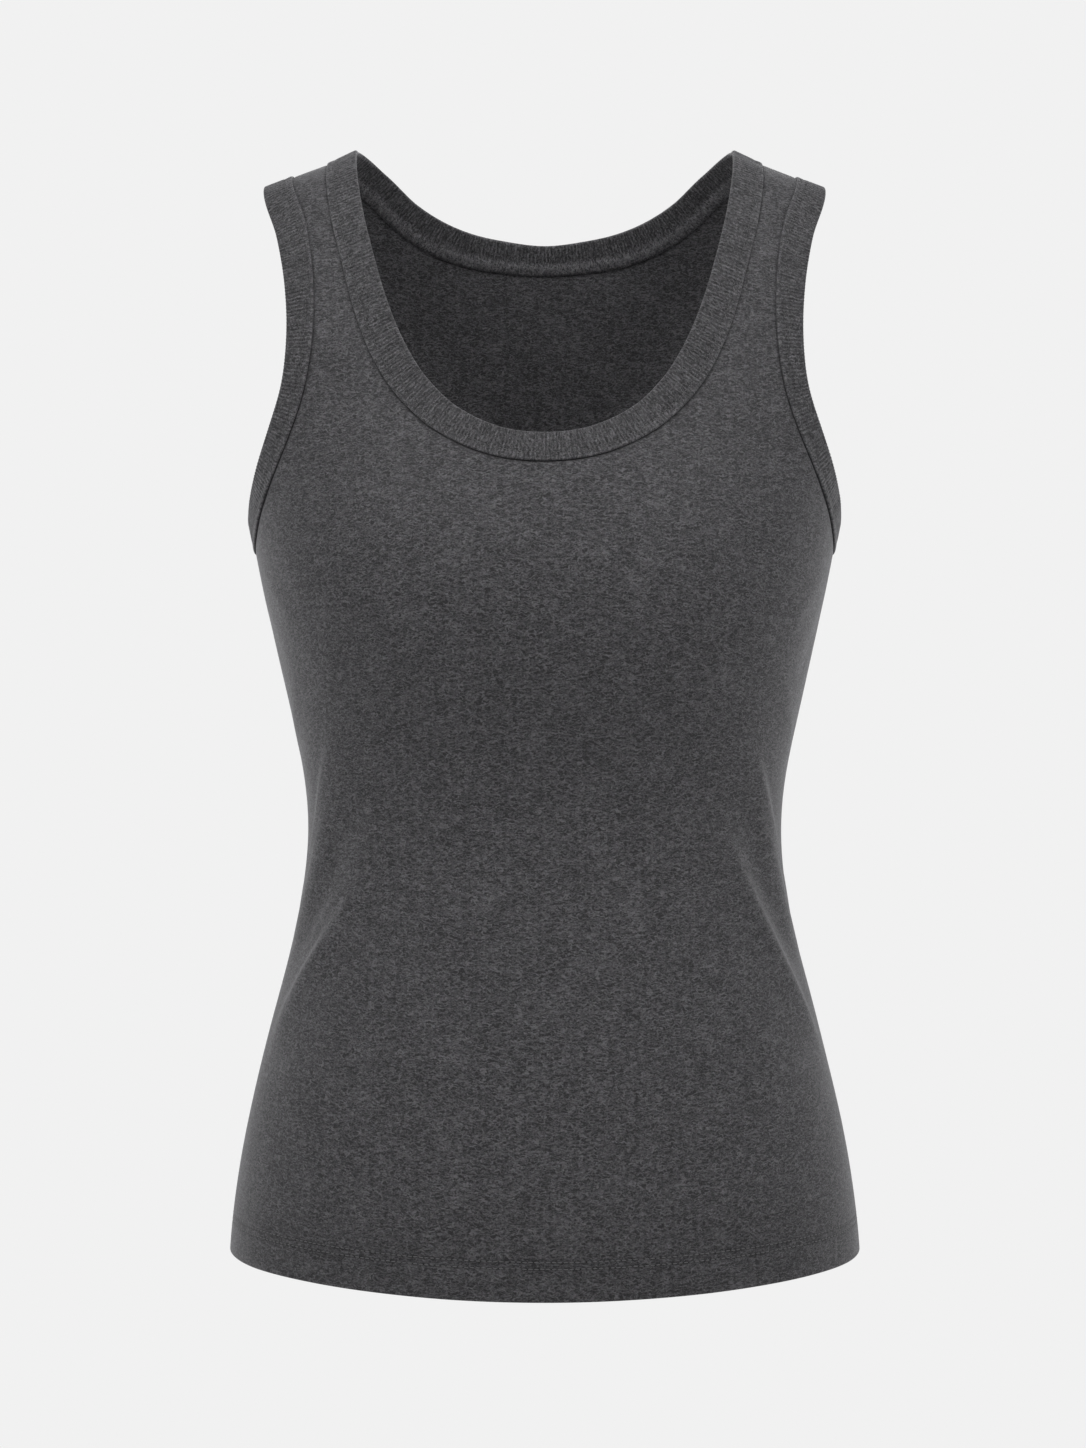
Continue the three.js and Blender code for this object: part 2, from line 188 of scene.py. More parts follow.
# The largest folds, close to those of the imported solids.
FOLDS = (
    Crease(50, -0.290, 84, -0.409, 0.0022, 0.0105, 0.0, 0.35),
    Crease(50, -0.322, 78, -0.428, -0.0016, 0.0090),
    Crease(44, -0.338, 77, -0.461, 0.0020, 0.0090, 0.0, 0.3),
    Crease(-50, -0.286, -82, -0.404, 0.0024, 0.0110, 0.0, -0.35),
    Crease(-48, -0.324, -78, -0.424, -0.0016, 0.0090),
    Crease(-43, -0.360, -76, -0.456, 0.0020, 0.0090, 0.0, -0.3),
    Crease(138, -0.296, 102, -0.372, 0.0020, 0.010),
    Crease(136, -0.340, 106, -0.424, 0.0022, 0.011),
    Crease(140, -0.318, 104, -0.396, -0.0018, 0.010),
    Crease(-132, -0.290, -99, -0.358, 0.0020, 0.010),
    Crease(-139, -0.330, -104, -0.418, 0.0022, 0.011),
    Crease(-137, -0.308, -102, -0.388, -0.0018, 0.010),
)
# Smaller creases, shown at the waist and the underarms, and like ones where the photo doesn't reach.
SMALL_CREASES = (
    Crease(49, -0.2885, 89, -0.3885, 0.0012, 0.0034, 0.0, 0.2),
    Crease(46, -0.3415, 78, -0.4595, 0.0011, 0.0046, 0.001, 0.2),
    Crease(60, -0.262, 84, -0.306, 0.0006, 0.006, 0.002, 0.3),
    Crease(40, -0.330, 56, -0.372, 0.0005, 0.009, 0.0, 0.3),
    Crease(-55, -0.2900, -85, -0.3840, 0.0012, 0.0034, 0.0, -0.2),
    Crease(-46, -0.3650, -76, -0.4450, 0.0011, 0.0046, -0.001, -0.2),
    Crease(-63, -0.262, -86, -0.304, 0.0006, 0.006, 0.002, 0.3),
    Crease(-38, -0.318, -50, -0.360, 0.0005, 0.010, 0.0, -0.3),
    Crease(74, -0.212, 58, -0.246, 0.0006, 0.006, 0.002, 0.3),
    Crease(84, -0.222, 70, -0.268, -0.0005, 0.007, 0.0, 0.2),
    Crease(-76, -0.210, -60, -0.240, 0.0006, 0.006, -0.002, 0.3),
    Crease(-85, -0.226, -72, -0.262, -0.0005, 0.007, 0.0, 0.2),
    Crease(104, -0.214, 122, -0.252, 0.0007, 0.007, 0.002, 0.3),
    Crease(-103, -0.216, -120, -0.262, 0.0007, 0.007, 0.0, 0.2),
    Crease(118, -0.272, 97, -0.318, 0.0008, 0.007, 0.002, 0.2),
    Crease(-120, -0.268, -98, -0.310, 0.0008, 0.007, -0.002, 0.2),
    Crease(133, -0.288, 97, -0.376, 0.0013, 0.0038, 0.001, -0.2),
    Crease(130, -0.344, 102, -0.440, 0.0013, 0.0048, 0.001, -0.2),
    Crease(-128, -0.284, -96, -0.366, 0.0013, 0.0038, -0.001, 0.2),
    Crease(-134, -0.334, -101, -0.432, 0.0013, 0.0048, -0.001, 0.2),
    Crease(150, -0.352, 128, -0.402, 0.0009, 0.010, 0.003, 0.3),
    Crease(-152, -0.338, -130, -0.392, 0.0009, 0.010, -0.003, 0.3),
    Crease(170, -0.330, 186, -0.346, 0.0006, 0.009, 0.002, 0.0),
    Crease(164, -0.362, 190, -0.372, -0.0006, 0.010, -0.002, 0.0),
)
# A degree of angle round the waist.
WAIST_DEGREE = 0.0019


def smoothstep(value: Array, low: float, high: float) -> Array:
    """Rises smoothly from 0 at low to 1 at high."""
    share = np.clip((value - low) / (high - low), 0.0, 1.0)
    return share * share * (3.0 - 2.0 * share)


def unit(vectors: Array) -> Array:
    """The vectors at length one."""
    return vectors / np.linalg.norm(vectors, axis=-1, keepdims=True)


def lengths_along(points: Array) -> Array:
    """The length run from the first point to each point of a path."""
    steps = np.linalg.norm(np.diff(points, axis=0), axis=1)
    return np.concatenate([[0.0], np.cumsum(steps)])


class Spline:
    """A natural cubic spline through values at rising heights."""

    def __init__(self, heights: list[float], values: list[float]) -> None:
        """Solves for the bend at each height.

        Args:
            heights: Rising heights.
            values: The value at each height.
        """
        self.z = np.array(heights)
        self.value = np.array(values)
        gap = np.diff(self.z)
        system = np.diag(2.0 * (gap[:-1] + gap[1:])) + np.diag(gap[1:-1], 1) + np.diag(gap[1:-1], -1)
        turn = 6.0 * np.diff(np.diff(self.value) / gap)
        self.bend = np.pad(np.linalg.solve(system, turn), 1)

    def __call__(self, height: Array) -> Array:
        """The value at each height.

        Args:
            height: Heights, within the spline's or a little past them.

        Returns:
            An array like height.
        """
        i = np.clip(np.searchsorted(self.z, height) - 1, 0, len(self.z) - 2)
        gap = self.z[i + 1] - self.z[i]
        up = self.z[i + 1] - height
        down = height - self.z[i]
        curved = (self.bend[i] * up**3 + self.bend[i + 1] * down**3) / (6.0 * gap)
        low = (self.value[i] / gap - self.bend[i] * gap / 6.0) * up
        high = (self.value[i + 1] / gap - self.bend[i + 1] * gap / 6.0) * down
        return curved + low + high


@dataclass
class Form:
    """The garment's form as one sheet, placed by an angle and a way.

    The angle is measured round from the middle of the panel, in radians and positive to the right. The way is
    negative below the arch, 0 to 1 up the front to the shoulder line, and 1 to 2 down the back.
    """

    sections: tuple[Section, ...] = SECTIONS
    arch_z: float = -0.200
    arch_below: float = 0.300
    arch_power: float = 2.4
    strap_middle: float = 0.122
    shoulder_half: float = 0.176
    shoulder_slope: float = 0.4
    shoulder_round: float = 0.060
    drift: float = 0.00022
    drift_waves: int = 26
    half: Spline = field(init=False)
    front: Spline = field(init=False)
    back: Spline = field(init=False)
    waves: Array = field(init=False)

    def __post_init__(self) -> None:
        """Fits the splines and draws the slow waves of the cloth."""
        heights = [row.z for row in self.sections]
        self.half = Spline(heights, [row.half for row in self.sections])
        self.front = Spline(heights, [row.front for row in self.sections])
        self.back = Spline(heights, [row.back for row in self.sections])
        random = np.random.default_rng(SEED)
        pitch = random.uniform(0.045, 0.14, self.drift_waves)
        heading = unit(random.normal(size=(self.drift_waves, 3)))
        phase = random.uniform(0.0, 2.0 * math.pi, self.drift_waves)
        self.waves = np.column_stack([heading * (2.0 * math.pi / pitch)[:, None], phase])

    def shoulder_z(self, angle: Array) -> Array:
        """Height of the shoulder line at an angle."""
        middle = self.shoulder_slope * math.hypot(self.strap_middle, self.shoulder_round)
        return middle - self.shoulder_slope * np.hypot(self.shoulder_half * np.sin(angle), self.shoulder_round)

    def point(self, angle: Array, way: Array) -> Array:
        """Points of the smooth inner face.

        Args:
            angle: Angles from the panel's middle.
            way: Ways along the sheet.

        Returns:
            The points, with x, y and z in the last axis.
        """
        is_back = way > 1.0
        up = np.where(is_back, 2.0 - way, way)
        rise = np.sin(0.5 * math.pi * np.maximum(up, 0.0))
        above = (self.shoulder_z(angle) - self.arch_z) * rise
        z = self.arch_z + np.where(up > 0.0, above, self.arch_below * up)
        lean = np.sqrt(np.maximum(1.0 - rise**self.arch_power, 0.0))
        depth = np.where(is_back, self.back(z), -self.front(z))
        return np.stack([self.half(z) * np.sin(angle), depth * np.cos(angle) * lean, z], axis=-1)

    def way_at(self, angle: Array, z: Array, is_back: bool) -> Array:
        """The way at which the front or the back has a height.

        Args:
            angle: Angles from the panel's middle.
            z: Heights.
            is_back: Whether the place is on the back.

        Returns:
            An array of ways.
        """
        share = np.clip((z - self.arch_z) / (self.shoulder_z(angle) - self.arch_z), 0.0, 1.0)
        up = np.where(z < self.arch_z, (z - self.arch_z) / self.arch_below, 2.0 / math.pi * np.arcsin(share))
        return 2.0 - up if is_back else up

    def slopes(self, angle: Array, way: Array) -> tuple[Array, Array]:
        """How the point moves with the angle and with the way."""
        around = self.point(angle + NUDGE, way) - self.point(angle - NUDGE, way)
        along = self.point(angle, way + NUDGE) - self.point(angle, way - NUDGE)
        return around / (2.0 * NUDGE), along / (2.0 * NUDGE)

    def normal(self, angle: Array, way: Array) -> Array:
        """Outward directions, square to the sheet."""
        around, along = self.slopes(angle, way)
        return unit(np.cross(around, along))

    def lift(self, angle: Array, way: Array, place: Array) -> Array:
        """How far the creases and the slow waves move the cloth out.

        Args:
            angle: Angles from the panel's middle.
            way: Ways along the sheet.
            place: The sheet's points there.

        Returns:
            An array of lengths, negative where the cloth lies in.
        """
        turn = np.degrees(np.where(way > 1.0, np.copysign(math.pi, angle) - angle, angle))
        total = np.zeros(np.shape(angle))
        for crease in FOLDS + SMALL_CREASES:
            total += self.crease_lift(crease, turn, place[..., 2])
        phases = place @ self.waves[:, :3].T + self.waves[:, 3]
        return total + self.drift * np.sin(phases).sum(axis=-1) / math.sqrt(self.drift_waves)

    def crease_lift(self, crease: Crease, turn: Array, z: Array) -> Array:
        """The height of one crease.

        Args:
            crease: The crease.
            turn: Degrees round from the front middle.
            z: Heights.

        Returns:
            An array of lengths.
        """
        run = (crease.to_angle - crease.from_angle) * WAIST_DEGREE
        fall = crease.to_z - crease.from_z
        length = math.hypot(run, fall)
        gone = (turn - crease.from_angle + 180.0) % 360.0 - 180.0
        across = gone * WAIST_DEGREE
        down = z - crease.from_z
        share = (across * run + down * fall) / length**2
        inside = (share > 0.0) & (share < 1.0)
        swell = np.where(inside, np.sin(math.pi * np.clip(share, 0.0, 1.0)), 0.0)
        beside = (across * fall - down * run) / length - crease.bow * swell
        reach = crease.reach * (1.0 + crease.lean * np.tanh(beside / crease.reach))
        return crease.rise * swell * np.exp(-((beside / reach) ** 2))

    def cloth(self, angle: Array, way: Array, out: Array) -> Array:
        """Points of the cloth, with its creases, a length out from the inner face.

        Args:
            angle: Angles from the panel's middle.
            way: Ways along the sheet.
            out: Lengths out, or one length.

        Returns:
            The points.
        """
        place = self.point(angle, way)
        far = out + self.lift(angle, way, place)
        return place + self.normal(angle, way) * np.asarray(far)[..., None]

    def round_length(self, angle: Array, way: Array) -> Array:
        """Length round the section from the panel's middle, for the cloth's own coordinates."""
        z = self.point(angle, way)[..., 2]
        depth = np.where(way > 1.0, self.back(z), self.front(z))
        nodes, weights = np.polynomial.legendre.leggauss(8)
        total = np.zeros(np.shape(angle))
        for node, weight in zip(nodes, weights):
            part = angle * (node + 1.0) / 2.0
            total += weight * np.hypot(self.half(z) * np.cos(part), depth * np.sin(part))
        return total * angle / 2.0

    def rise_length(self, angle: Array, way: Array) -> Array:
        """Length up the sheet, counted from the arch, for the cloth's own coordinates."""
        steps = 32
        up = np.where(way > 1.0, 2.0 - way, way)
        side = np.where(way > 1.0, 1.0, 0.0)
        total = np.minimum(up, 0.0) * self.arch_below
        high = np.maximum(up, 0.0)
        last = self.point(angle, np.where(side > 0.0, 2.0 - NUDGE, NUDGE))
        for step in range(1, steps + 1):
            here = high * step / steps
            place = self.point(angle, np.where(side > 0.0, 2.0 - here, here))
            total = total + np.where(up > 0.0, np.linalg.norm(place - last, axis=-1), 0.0)
            last = place
        return total


@dataclass
class Stations:
    """Places along a cut edge, with the width of its binding."""

    angle: Array
    way: Array
    band: Array

    def mirrored(self) -> "Stations":
        """The same places on the other side of the garment."""
        return Stations(-self.angle, self.way, self.band)

    def turned(self) -> "Stations":
        """The same places in the other order."""
        return Stations(self.angle[::-1], self.way[::-1], self.band[::-1])

    def part(self, start: int, stop: int | None = None) -> "Stations":
        """The places from start to stop."""
        return Stations(self.angle[start:stop], self.way[start:stop], self.band[start:stop])


def joined(*parts: Stations) -> Stations:
    """Several runs of places as one."""
    return Stations(
        np.concatenate([part.angle for part in parts]),
        np.concatenate([part.way for part in parts]),
        np.concatenate([part.band for part in parts]),
    )


@dataclass
class CutEdge:
    """Half of a neck or armhole edge, from its lowest point up to the shoulder line."""

    form: Form
    rows: tuple[EdgeRow, ...]
    is_back: bool
    end_slope: tuple[float, float, float] = (0.0, 1.0, 0.0)

    def curve(self) -> Stations:
        """The smooth curve through the rows, closely spaced."""
        knots = []
        for row in self.rows:
            z = self.form.shoulder_z(math.radians(row.angle)) if row.z is None else row.z
            knots.append([row.angle * DEGREE_LENGTH, z, row.band])
        knots = np.array(knots)
        length = lengths_along(knots)
        slopes = np.gradient(knots, axis=0)
        slopes[1:-1] = (knots[2:] - knots[:-2]) / (length[2:] - length[:-2])[:, None]
        slopes[0] = (math.copysign(1.0, knots[1, 0] - knots[0, 0]), 0.0, 0.0)
        slopes[-1] = self.end_slope
        places = [knots[:1]]
        share = np.arange(1, CURVE_STEPS + 1)[:, None] / CURVE_STEPS
        for i, span in enumerate(np.diff(length)):
            place = knots[i] * (1 + 2 * share) * (1 - share) ** 2
            place = place + slopes[i] * span * share * (1 - share) ** 2
            place = place + knots[i + 1] * share**2 * (3 - 2 * share)
            place = place - slopes[i + 1] * span * share**2 * (1 - share)
            places.append(place)
        places = np.concatenate(places)
        angle = np.radians(places[:, 0] / DEGREE_LENGTH)
        way = self.form.way_at(angle, places[:, 1], self.is_back)
        way[-1] = 1.0
        return Stations(angle, way, places[:, 2])

    def stations(self, steps: int) -> Stations:
        """Places at even steps of length along the edge.

        Args:
            steps: Number of steps.

        Returns:
            One place more than the steps.
        """
        curve = self.curve()
        length = lengths_along(self.form.point(curve.angle, curve.way))
        at = np.linspace(0.0, length[-1], steps + 1)
        columns = (curve.angle, curve.way, curve.band)
        return Stations(*(np.interp(at, length, column) for column in columns))


def inset(form: Form, edge: Stations, side: float, distance: float) -> Stations:
    """The places of an edge moved into the panel, square to the edge.

    Args:
        form: The garment's form.
        edge: The edge's places.
        side: 1 where the open side lies to the left of the edge, as seen from outside, and -1 to its right.
        distance: How far to move.

    Returns:
        The moved places.
    """
    around, along = form.slopes(edge.angle, edge.way)
    seam = form.point(edge.angle, edge.way)
    run = unit(np.gradient(seam, axis=0))
    inward = -side * np.cross(form.normal(edge.angle, edge.way), run) * distance
    aa = (around * around).sum(-1)
    ab = (around * along).sum(-1)
    bb = (along * along).sum(-1)
    da = (around * inward).sum(-1)
    db = (along * inward).sum(-1)
    scale = aa * bb - ab * ab
    angle = edge.angle + (bb * da - ab * db) / scale
    way = edge.way + (aa * db - ab * da) / scale
    return Stations(angle, way, edge.band)


def new_mesh(name: str, points: Array, faces: Array, uv: Array | None = None) -> bpy.types.Object:
    """A mesh object from arrays.

    Args:
        name: The piece's name.
        points: The vertices.
        faces: The vertices of each face, all with as many corners.
        uv: The cloth's own coordinates at each vertex, in metres.

    Returns:
        The object, linked to the scene.
    """
    mesh = bpy.data.meshes.new(name)
    mesh.from_pydata(points.tolist(), [], faces.tolist())
    if uv is not None:
        layer = mesh.uv_layers.new(name="cloth")
        corner = np.zeros(len(mesh.loops), dtype=np.int32)
        mesh.loops.foreach_get("vertex_index", corner)
        layer.data.foreach_set("uv", uv[corner].astype(np.float32).ravel())
    mesh.polygons.foreach_set("use_smooth", np.ones(len(mesh.polygons), dtype=bool))
    mesh.update()
    piece = bpy.data.objects.new(name, mesh)
    bpy.context.scene.collection.objects.link(piece)
    return piece


def set_attribute(piece: bpy.types.Object, name: str, values: Array) -> None:
    """Stores one number a vertex under a name."""
    attribute = piece.data.attributes.new(name, "FLOAT", "POINT")
    attribute.data.foreach_set("value", values.astype(np.float32))


def select_only(piece: bpy.types.Object) -> None:
    """Deselects everything and selects one object."""
    bpy.ops.object.select_all(action="DESELECT")
    piece.select_set(True)
    bpy.context.view_layer.objects.active = piece


def thicken(piece: bpy.types.Object, thickness: float) -> None:
    """Gives an open sheet its thickness, half to each side, and applies it."""
    select_only(piece)
    solid = piece.modifiers.new("thickness", "SOLIDIFY")
    solid.thickness = thickness
    solid.offset = 0.0
    bpy.ops.object.modifier_apply(modifier=solid.name)


def weld(piece: bpy.types.Object, distance: float) -> None:
    """Merges the vertices that lie together."""
    select_only(piece)
    bpy.ops.object.mode_set(mode="EDIT")
    bpy.ops.mesh.select_all(action="SELECT")
    bpy.ops.mesh.remove_doubles(threshold=distance)
    bpy.ops.object.mode_set(mode="OBJECT")
    piece.select_set(False)


def recalculate(piece: bpy.types.Object) -> None:
    """Turns all faces outwards."""
    select_only(piece)
    bpy.ops.object.mode_set(mode="EDIT")
    bpy.ops.mesh.select_all(action="SELECT")
    bpy.ops.mesh.normals_make_consistent(inside=False)
    bpy.ops.object.mode_set(mode="OBJECT")
    piece.select_set(False)


def sheet_area(piece: bpy.types.Object) -> float:
    """The area of all faces of a piece."""
    areas = np.zeros(len(piece.data.polygons), dtype=np.float32)
    piece.data.polygons.foreach_get("area", areas)
    return float(areas.sum())


def place_piece(piece: bpy.types.Object, material: bpy.types.Material) -> bpy.types.Object:
    """Dresses a finished piece and lets it ride on the garment's body.

    Args:
        piece: The piece.
        material: Its finish.

    Returns:
        The piece.
    """
    piece.data.materials.clear()
    piece.data.materials.append(material)
    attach(piece, BODY)
    return piece


class Socket:
    """A node's output, with the shader maths as operators."""

    def __init__(self, shader: "Shader", source: bpy.types.NodeSocket) -> None:
        """Wraps one output socket of a shader's tree."""
        self.shader = shader
        self.source = source

    def math(self, operation: str, *others: "Socket | float", clamp: bool = False) -> "Socket":
        """This value and others through a Math node.

        Args:
            operation: The node's operation.
            others: The second and third values.
            clamp: Whether the result is kept from 0 to 1.

        Returns:
            The result.
        """
        return self.shader.node("ShaderNodeMath", {"operation": operation, "use_clamp": clamp}, [self, *others])

    def __add__(self, other: "Socket | float") -> "Socket":
        """The sum."""
        return self.math("ADD", other)

    def __radd__(self, other: float) -> "Socket":
        """The sum, from the other side."""
        return self.math("ADD", other)

    def __sub__(self, other: "Socket | float") -> "Socket":
        """The difference."""
        return self.math("SUBTRACT", other)

    def __rsub__(self, other: float) -> "Socket":
        """The difference, from the other side."""
        return self.shader.node("ShaderNodeMath", {"operation": "SUBTRACT"}, [other, self])

    def __mul__(self, other: "Socket | float") -> "Socket":
        """The product."""
        return self.math("MULTIPLY", other)

    def __rmul__(self, other: float) -> "Socket":
        """The product, from the other side."""
        return self.math("MULTIPLY", other)

    def __truediv__(self, other: "Socket | float") -> "Socket":
        """The quotient."""
        return self.math("DIVIDE", other)

    def __rtruediv__(self, other: float) -> "Socket":
        """The quotient, from the other side."""
        return self.shader.node("ShaderNodeMath", {"operation": "DIVIDE"}, [other, self])

    def band(self, low: float, high: float) -> "Socket":
        """Rises smoothly from 0 to 1 between two values, or falls where low is the greater."""
        settings = {"interpolation_type": "SMOOTHSTEP"}
        rises = high > low
        limits = [low, high, 0.0, 1.0] if rises else [high, low, 1.0, 0.0]
        return self.shader.node("ShaderNodeMapRange", settings, [self, *limits])


class Shader:
    """A material's node tree as it is built."""

    def __init__(self, name: str) -> None:
        """Starts a material with a surface node of its own."""
        self.material = bpy.data.materials.new(name)
        self.material.use_nodes = True
        self.tree = self.material.node_tree
        self.tree.nodes.clear()
        self.surface = self.tree.nodes.new("ShaderNodeBsdfPrincipled")
        output = self.tree.nodes.new("ShaderNodeOutputMaterial")
        self.tree.links.new(self.surface.outputs["BSDF"], output.inputs["Surface"])

    def node(
        self,
        kind: str,
        settings: dict[str, object] | None = None,
        inputs: "list[Socket | float | tuple] | dict[str, Socket | float | tuple] | None" = None,
        output: int | str = 0,
    ) -> Socket:
        """Adds any node.

        Args:
            kind: The node's type.
            settings: Its properties.
            inputs: Values or sockets for its inputs, in order or by name. None leaves an input as it is.
            output: Which output is wanted.

        Returns:
            That output.
        """
        made = self.tree.nodes.new(kind)
        for key, value in (settings or {}).items():
            setattr(made, key, value)
        pairs = inputs.items() if isinstance(inputs, dict) else enumerate(inputs or [])
        for key, value in pairs:
            self.feed(made.inputs[key], value)
        return Socket(self, made.outputs[output])

    def feed(self, target: bpy.types.NodeSocket, value: "Socket | float | tuple | None") -> None:
        """Links or sets one input."""
        if isinstance(value, Socket):
            self.tree.links.new(value.source, target)
        elif value is not None:
            target.default_value = value

    def vector(self, operation: str, *values: "Socket | tuple", scale: float | None = None) -> Socket:
        """A Vector Math node."""
        made = self.node("ShaderNodeVectorMath", {"operation": operation}, list(values))
        if scale is not None:
            made.source.node.inputs["Scale"].default_value = scale
        return made

    def noise(self, place: Socket, scale: float, detail: float = 2.0, roughness: float = 0.5, colour: bool = False) -> Socket:
        """Soft noise at a place.

        Args:
            place: Coordinates.
            scale: Features a metre.
            detail: Octaves.
            roughness: Share of each finer octave.
            colour: Whether three values are wanted.

        Returns:
            Values round 0.5.
        """
        inputs = {"Vector": place, "Scale": scale, "Detail": detail, "Roughness": roughness}
        return self.node("ShaderNodeTexNoise", {"noise_dimensions": "3D"}, inputs, "Color" if colour else "Fac")

    def tint(self, share: "Socket | float", first: "Socket | tuple", second: "Socket | tuple", blend: str = "MIX") -> Socket:
        """One colour over another by a share."""
        made = self.tree.nodes.new("ShaderNodeMix")
        made.data_type = "RGBA"
        made.blend_type = blend
        self.feed(made.inputs[0], share)
        self.feed(made.inputs[6], first)
        self.feed(made.inputs[7], second)
        return Socket(self, made.outputs[2])

    def cloth(self) -> Socket:
        """The cloth's own coordinates, in metres."""
        return self.node("ShaderNodeUVMap", {"uv_map": "cloth"})

    def attribute(self, name: str) -> Socket:
        """A number stored on the mesh."""
        return self.node("ShaderNodeAttribute", {"attribute_name": name}, None, "Fac")


@dataclass(frozen=True)
class KnitFinish:
    """Heather cloth of fine dark and lighter fibres.

    The stretch makes its strands longer along the cloth's first coordinate than across it.
    """

    name: str
    dark: tuple[float, float, float, float]
    light: tuple[float, float, float, float]
    stretch: tuple[float, float, float]
    strand: float = 330.0
    curl: float = 0.0015
    roughness: float = 0.62
    sheen: float = 0.35
    sheen_roughness: float = 0.45
    bump: float = 0.00010

    def strands(self, shader: Shader, place: Socket, scale: float, shift: float) -> Socket:
        """Thin curly lines, as the ridges of a noise.

        Args:
            shader: The material.
            place: The cloth's coordinates, bent.
            scale: Features a metre.
            shift: A move that makes this layer differ from others.

        Returns:
            1 on a strand and 0 beside it.
        """
        moved = shader.vector("ADD", shader.vector("MULTIPLY", place, self.stretch), (shift, shift * 1.7, shift))
        ridge = (shader.noise(moved, scale, 1.5, 0.55) - 0.5).math("ABSOLUTE")
        return ridge.band(0.080, 0.015)

    def build(self) -> bpy.types.Material:
        """Makes the material."""
        shader = Shader(self.name)
        cloth = shader.cloth()
        bend = shader.vector("SUBTRACT", shader.noise(cloth, 330.0, 2.0, 0.6, colour=True), (0.5, 0.5, 0.5))
        place = shader.vector("ADD", cloth, shader.vector("SCALE", bend, scale=self.curl * 2.0))
        first = self.strands(shader, place, self.strand, 3.1)
        second = self.strands(shader, place, self.strand * 1.45, 11.7)
        third = self.strands(shader, place, self.strand * 0.72, 23.3)
        gate = shader.noise(cloth, 190.0, 2.0, 0.6)
        line = first * gate.band(0.36, 0.62) * 0.85 + second * gate.band(0.62, 0.40) * 0.6 + third * 0.35
        grain = shader.noise(cloth, 1100.0, 2.0, 0.6)
        blotch = shader.noise(cloth, 60.0, 3.0, 0.6) - 0.5
        share = (line * 0.66 + (grain - 0.5) * 1.15 + blotch * 0.3 + 0.01).math("MAXIMUM", 0.0)
        colour = shader.tint(share.math("MINIMUM", 1.0), self.dark, self.light)
        speck = shader.noise(cloth, 520.0, 1.0, 0.5, colour=True)
        hue = shader.vector("ADD", shader.vector("SCALE", shader.vector("SUBTRACT", speck, (0.5, 0.5, 0.5)), scale=0.10), (1.0, 0.99, 1.01))
        colour = shader.tint(1.0, colour, hue, "MULTIPLY")
        # The stored shade attribute is painted shade and painted highlights beside seams, stitches and ribs,
        # multiplied into the base colour.
        depth = shader.attribute("shade")
        colour = shader.vector("SCALE", colour)
        shader.tree.links.new(depth.source, colour.source.node.inputs["Scale"])
        height = line * 0.7 + grain * 0.9 + shader.noise(cloth, 420.0, 2.0, 0.5) * 0.8
        bump = shader.node("ShaderNodeBump", {}, {"Strength": 1.0, "Distance": self.bump, "Height": height}, "Normal")
        surface = shader.surface
        shader.feed(surface.inputs["Base Color"], colour)
        shader.feed(surface.inputs["Normal"], bump)
        shader.feed(surface.inputs["Roughness"], grain * 0.2 + (self.roughness - 0.1))
        surface.inputs["Specular IOR Level"].default_value = 0.25
        surface.inputs["Sheen Weight"].default_value = self.sheen
        surface.inputs["Sheen Roughness"].default_value = self.sheen_roughness
        surface.inputs["Sheen Tint"].default_value = (0.9, 0.9, 0.93, 1.0)
        return shader.material


@dataclass(frozen=True)
class ThreadFinish:
    """Polyester sewing thread in the cloth's colour."""

    name: str = "sewing_thread"
    colour: tuple[float, float, float, float] = (0.120, 0.119, 0.123, 1.0)
    roughness: float = 0.5
    sheen: float = 0.2

    def build(self) -> bpy.types.Material:
        """Makes the material."""
        shader = Shader(self.name)
        surface = shader.surface
        surface.inputs["Base Color"].default_value = self.colour
        surface.inputs["Roughness"].default_value = self.roughness
        surface.inputs["Sheen Weight"].default_value = self.sheen
        return shader.material


@dataclass
class Path:
    """A line over the cloth: its points, the cloth's outward directions and the directions across the line."""

    points: Array
    outward: Array
    across: Array

    def at(self, lengths: Array) -> tuple[Array, Array, Array]:
        """Points, outward directions and directions across at lengths along the line."""
        run = lengths_along(self.points)
        columns = [
            np.stack([np.interp(lengths, run, part[:, i]) for i in range(3)], axis=1)
            for part in (self.points, self.outward, self.across)
        ]
        return columns[0], unit(columns[1]), unit(columns[2])


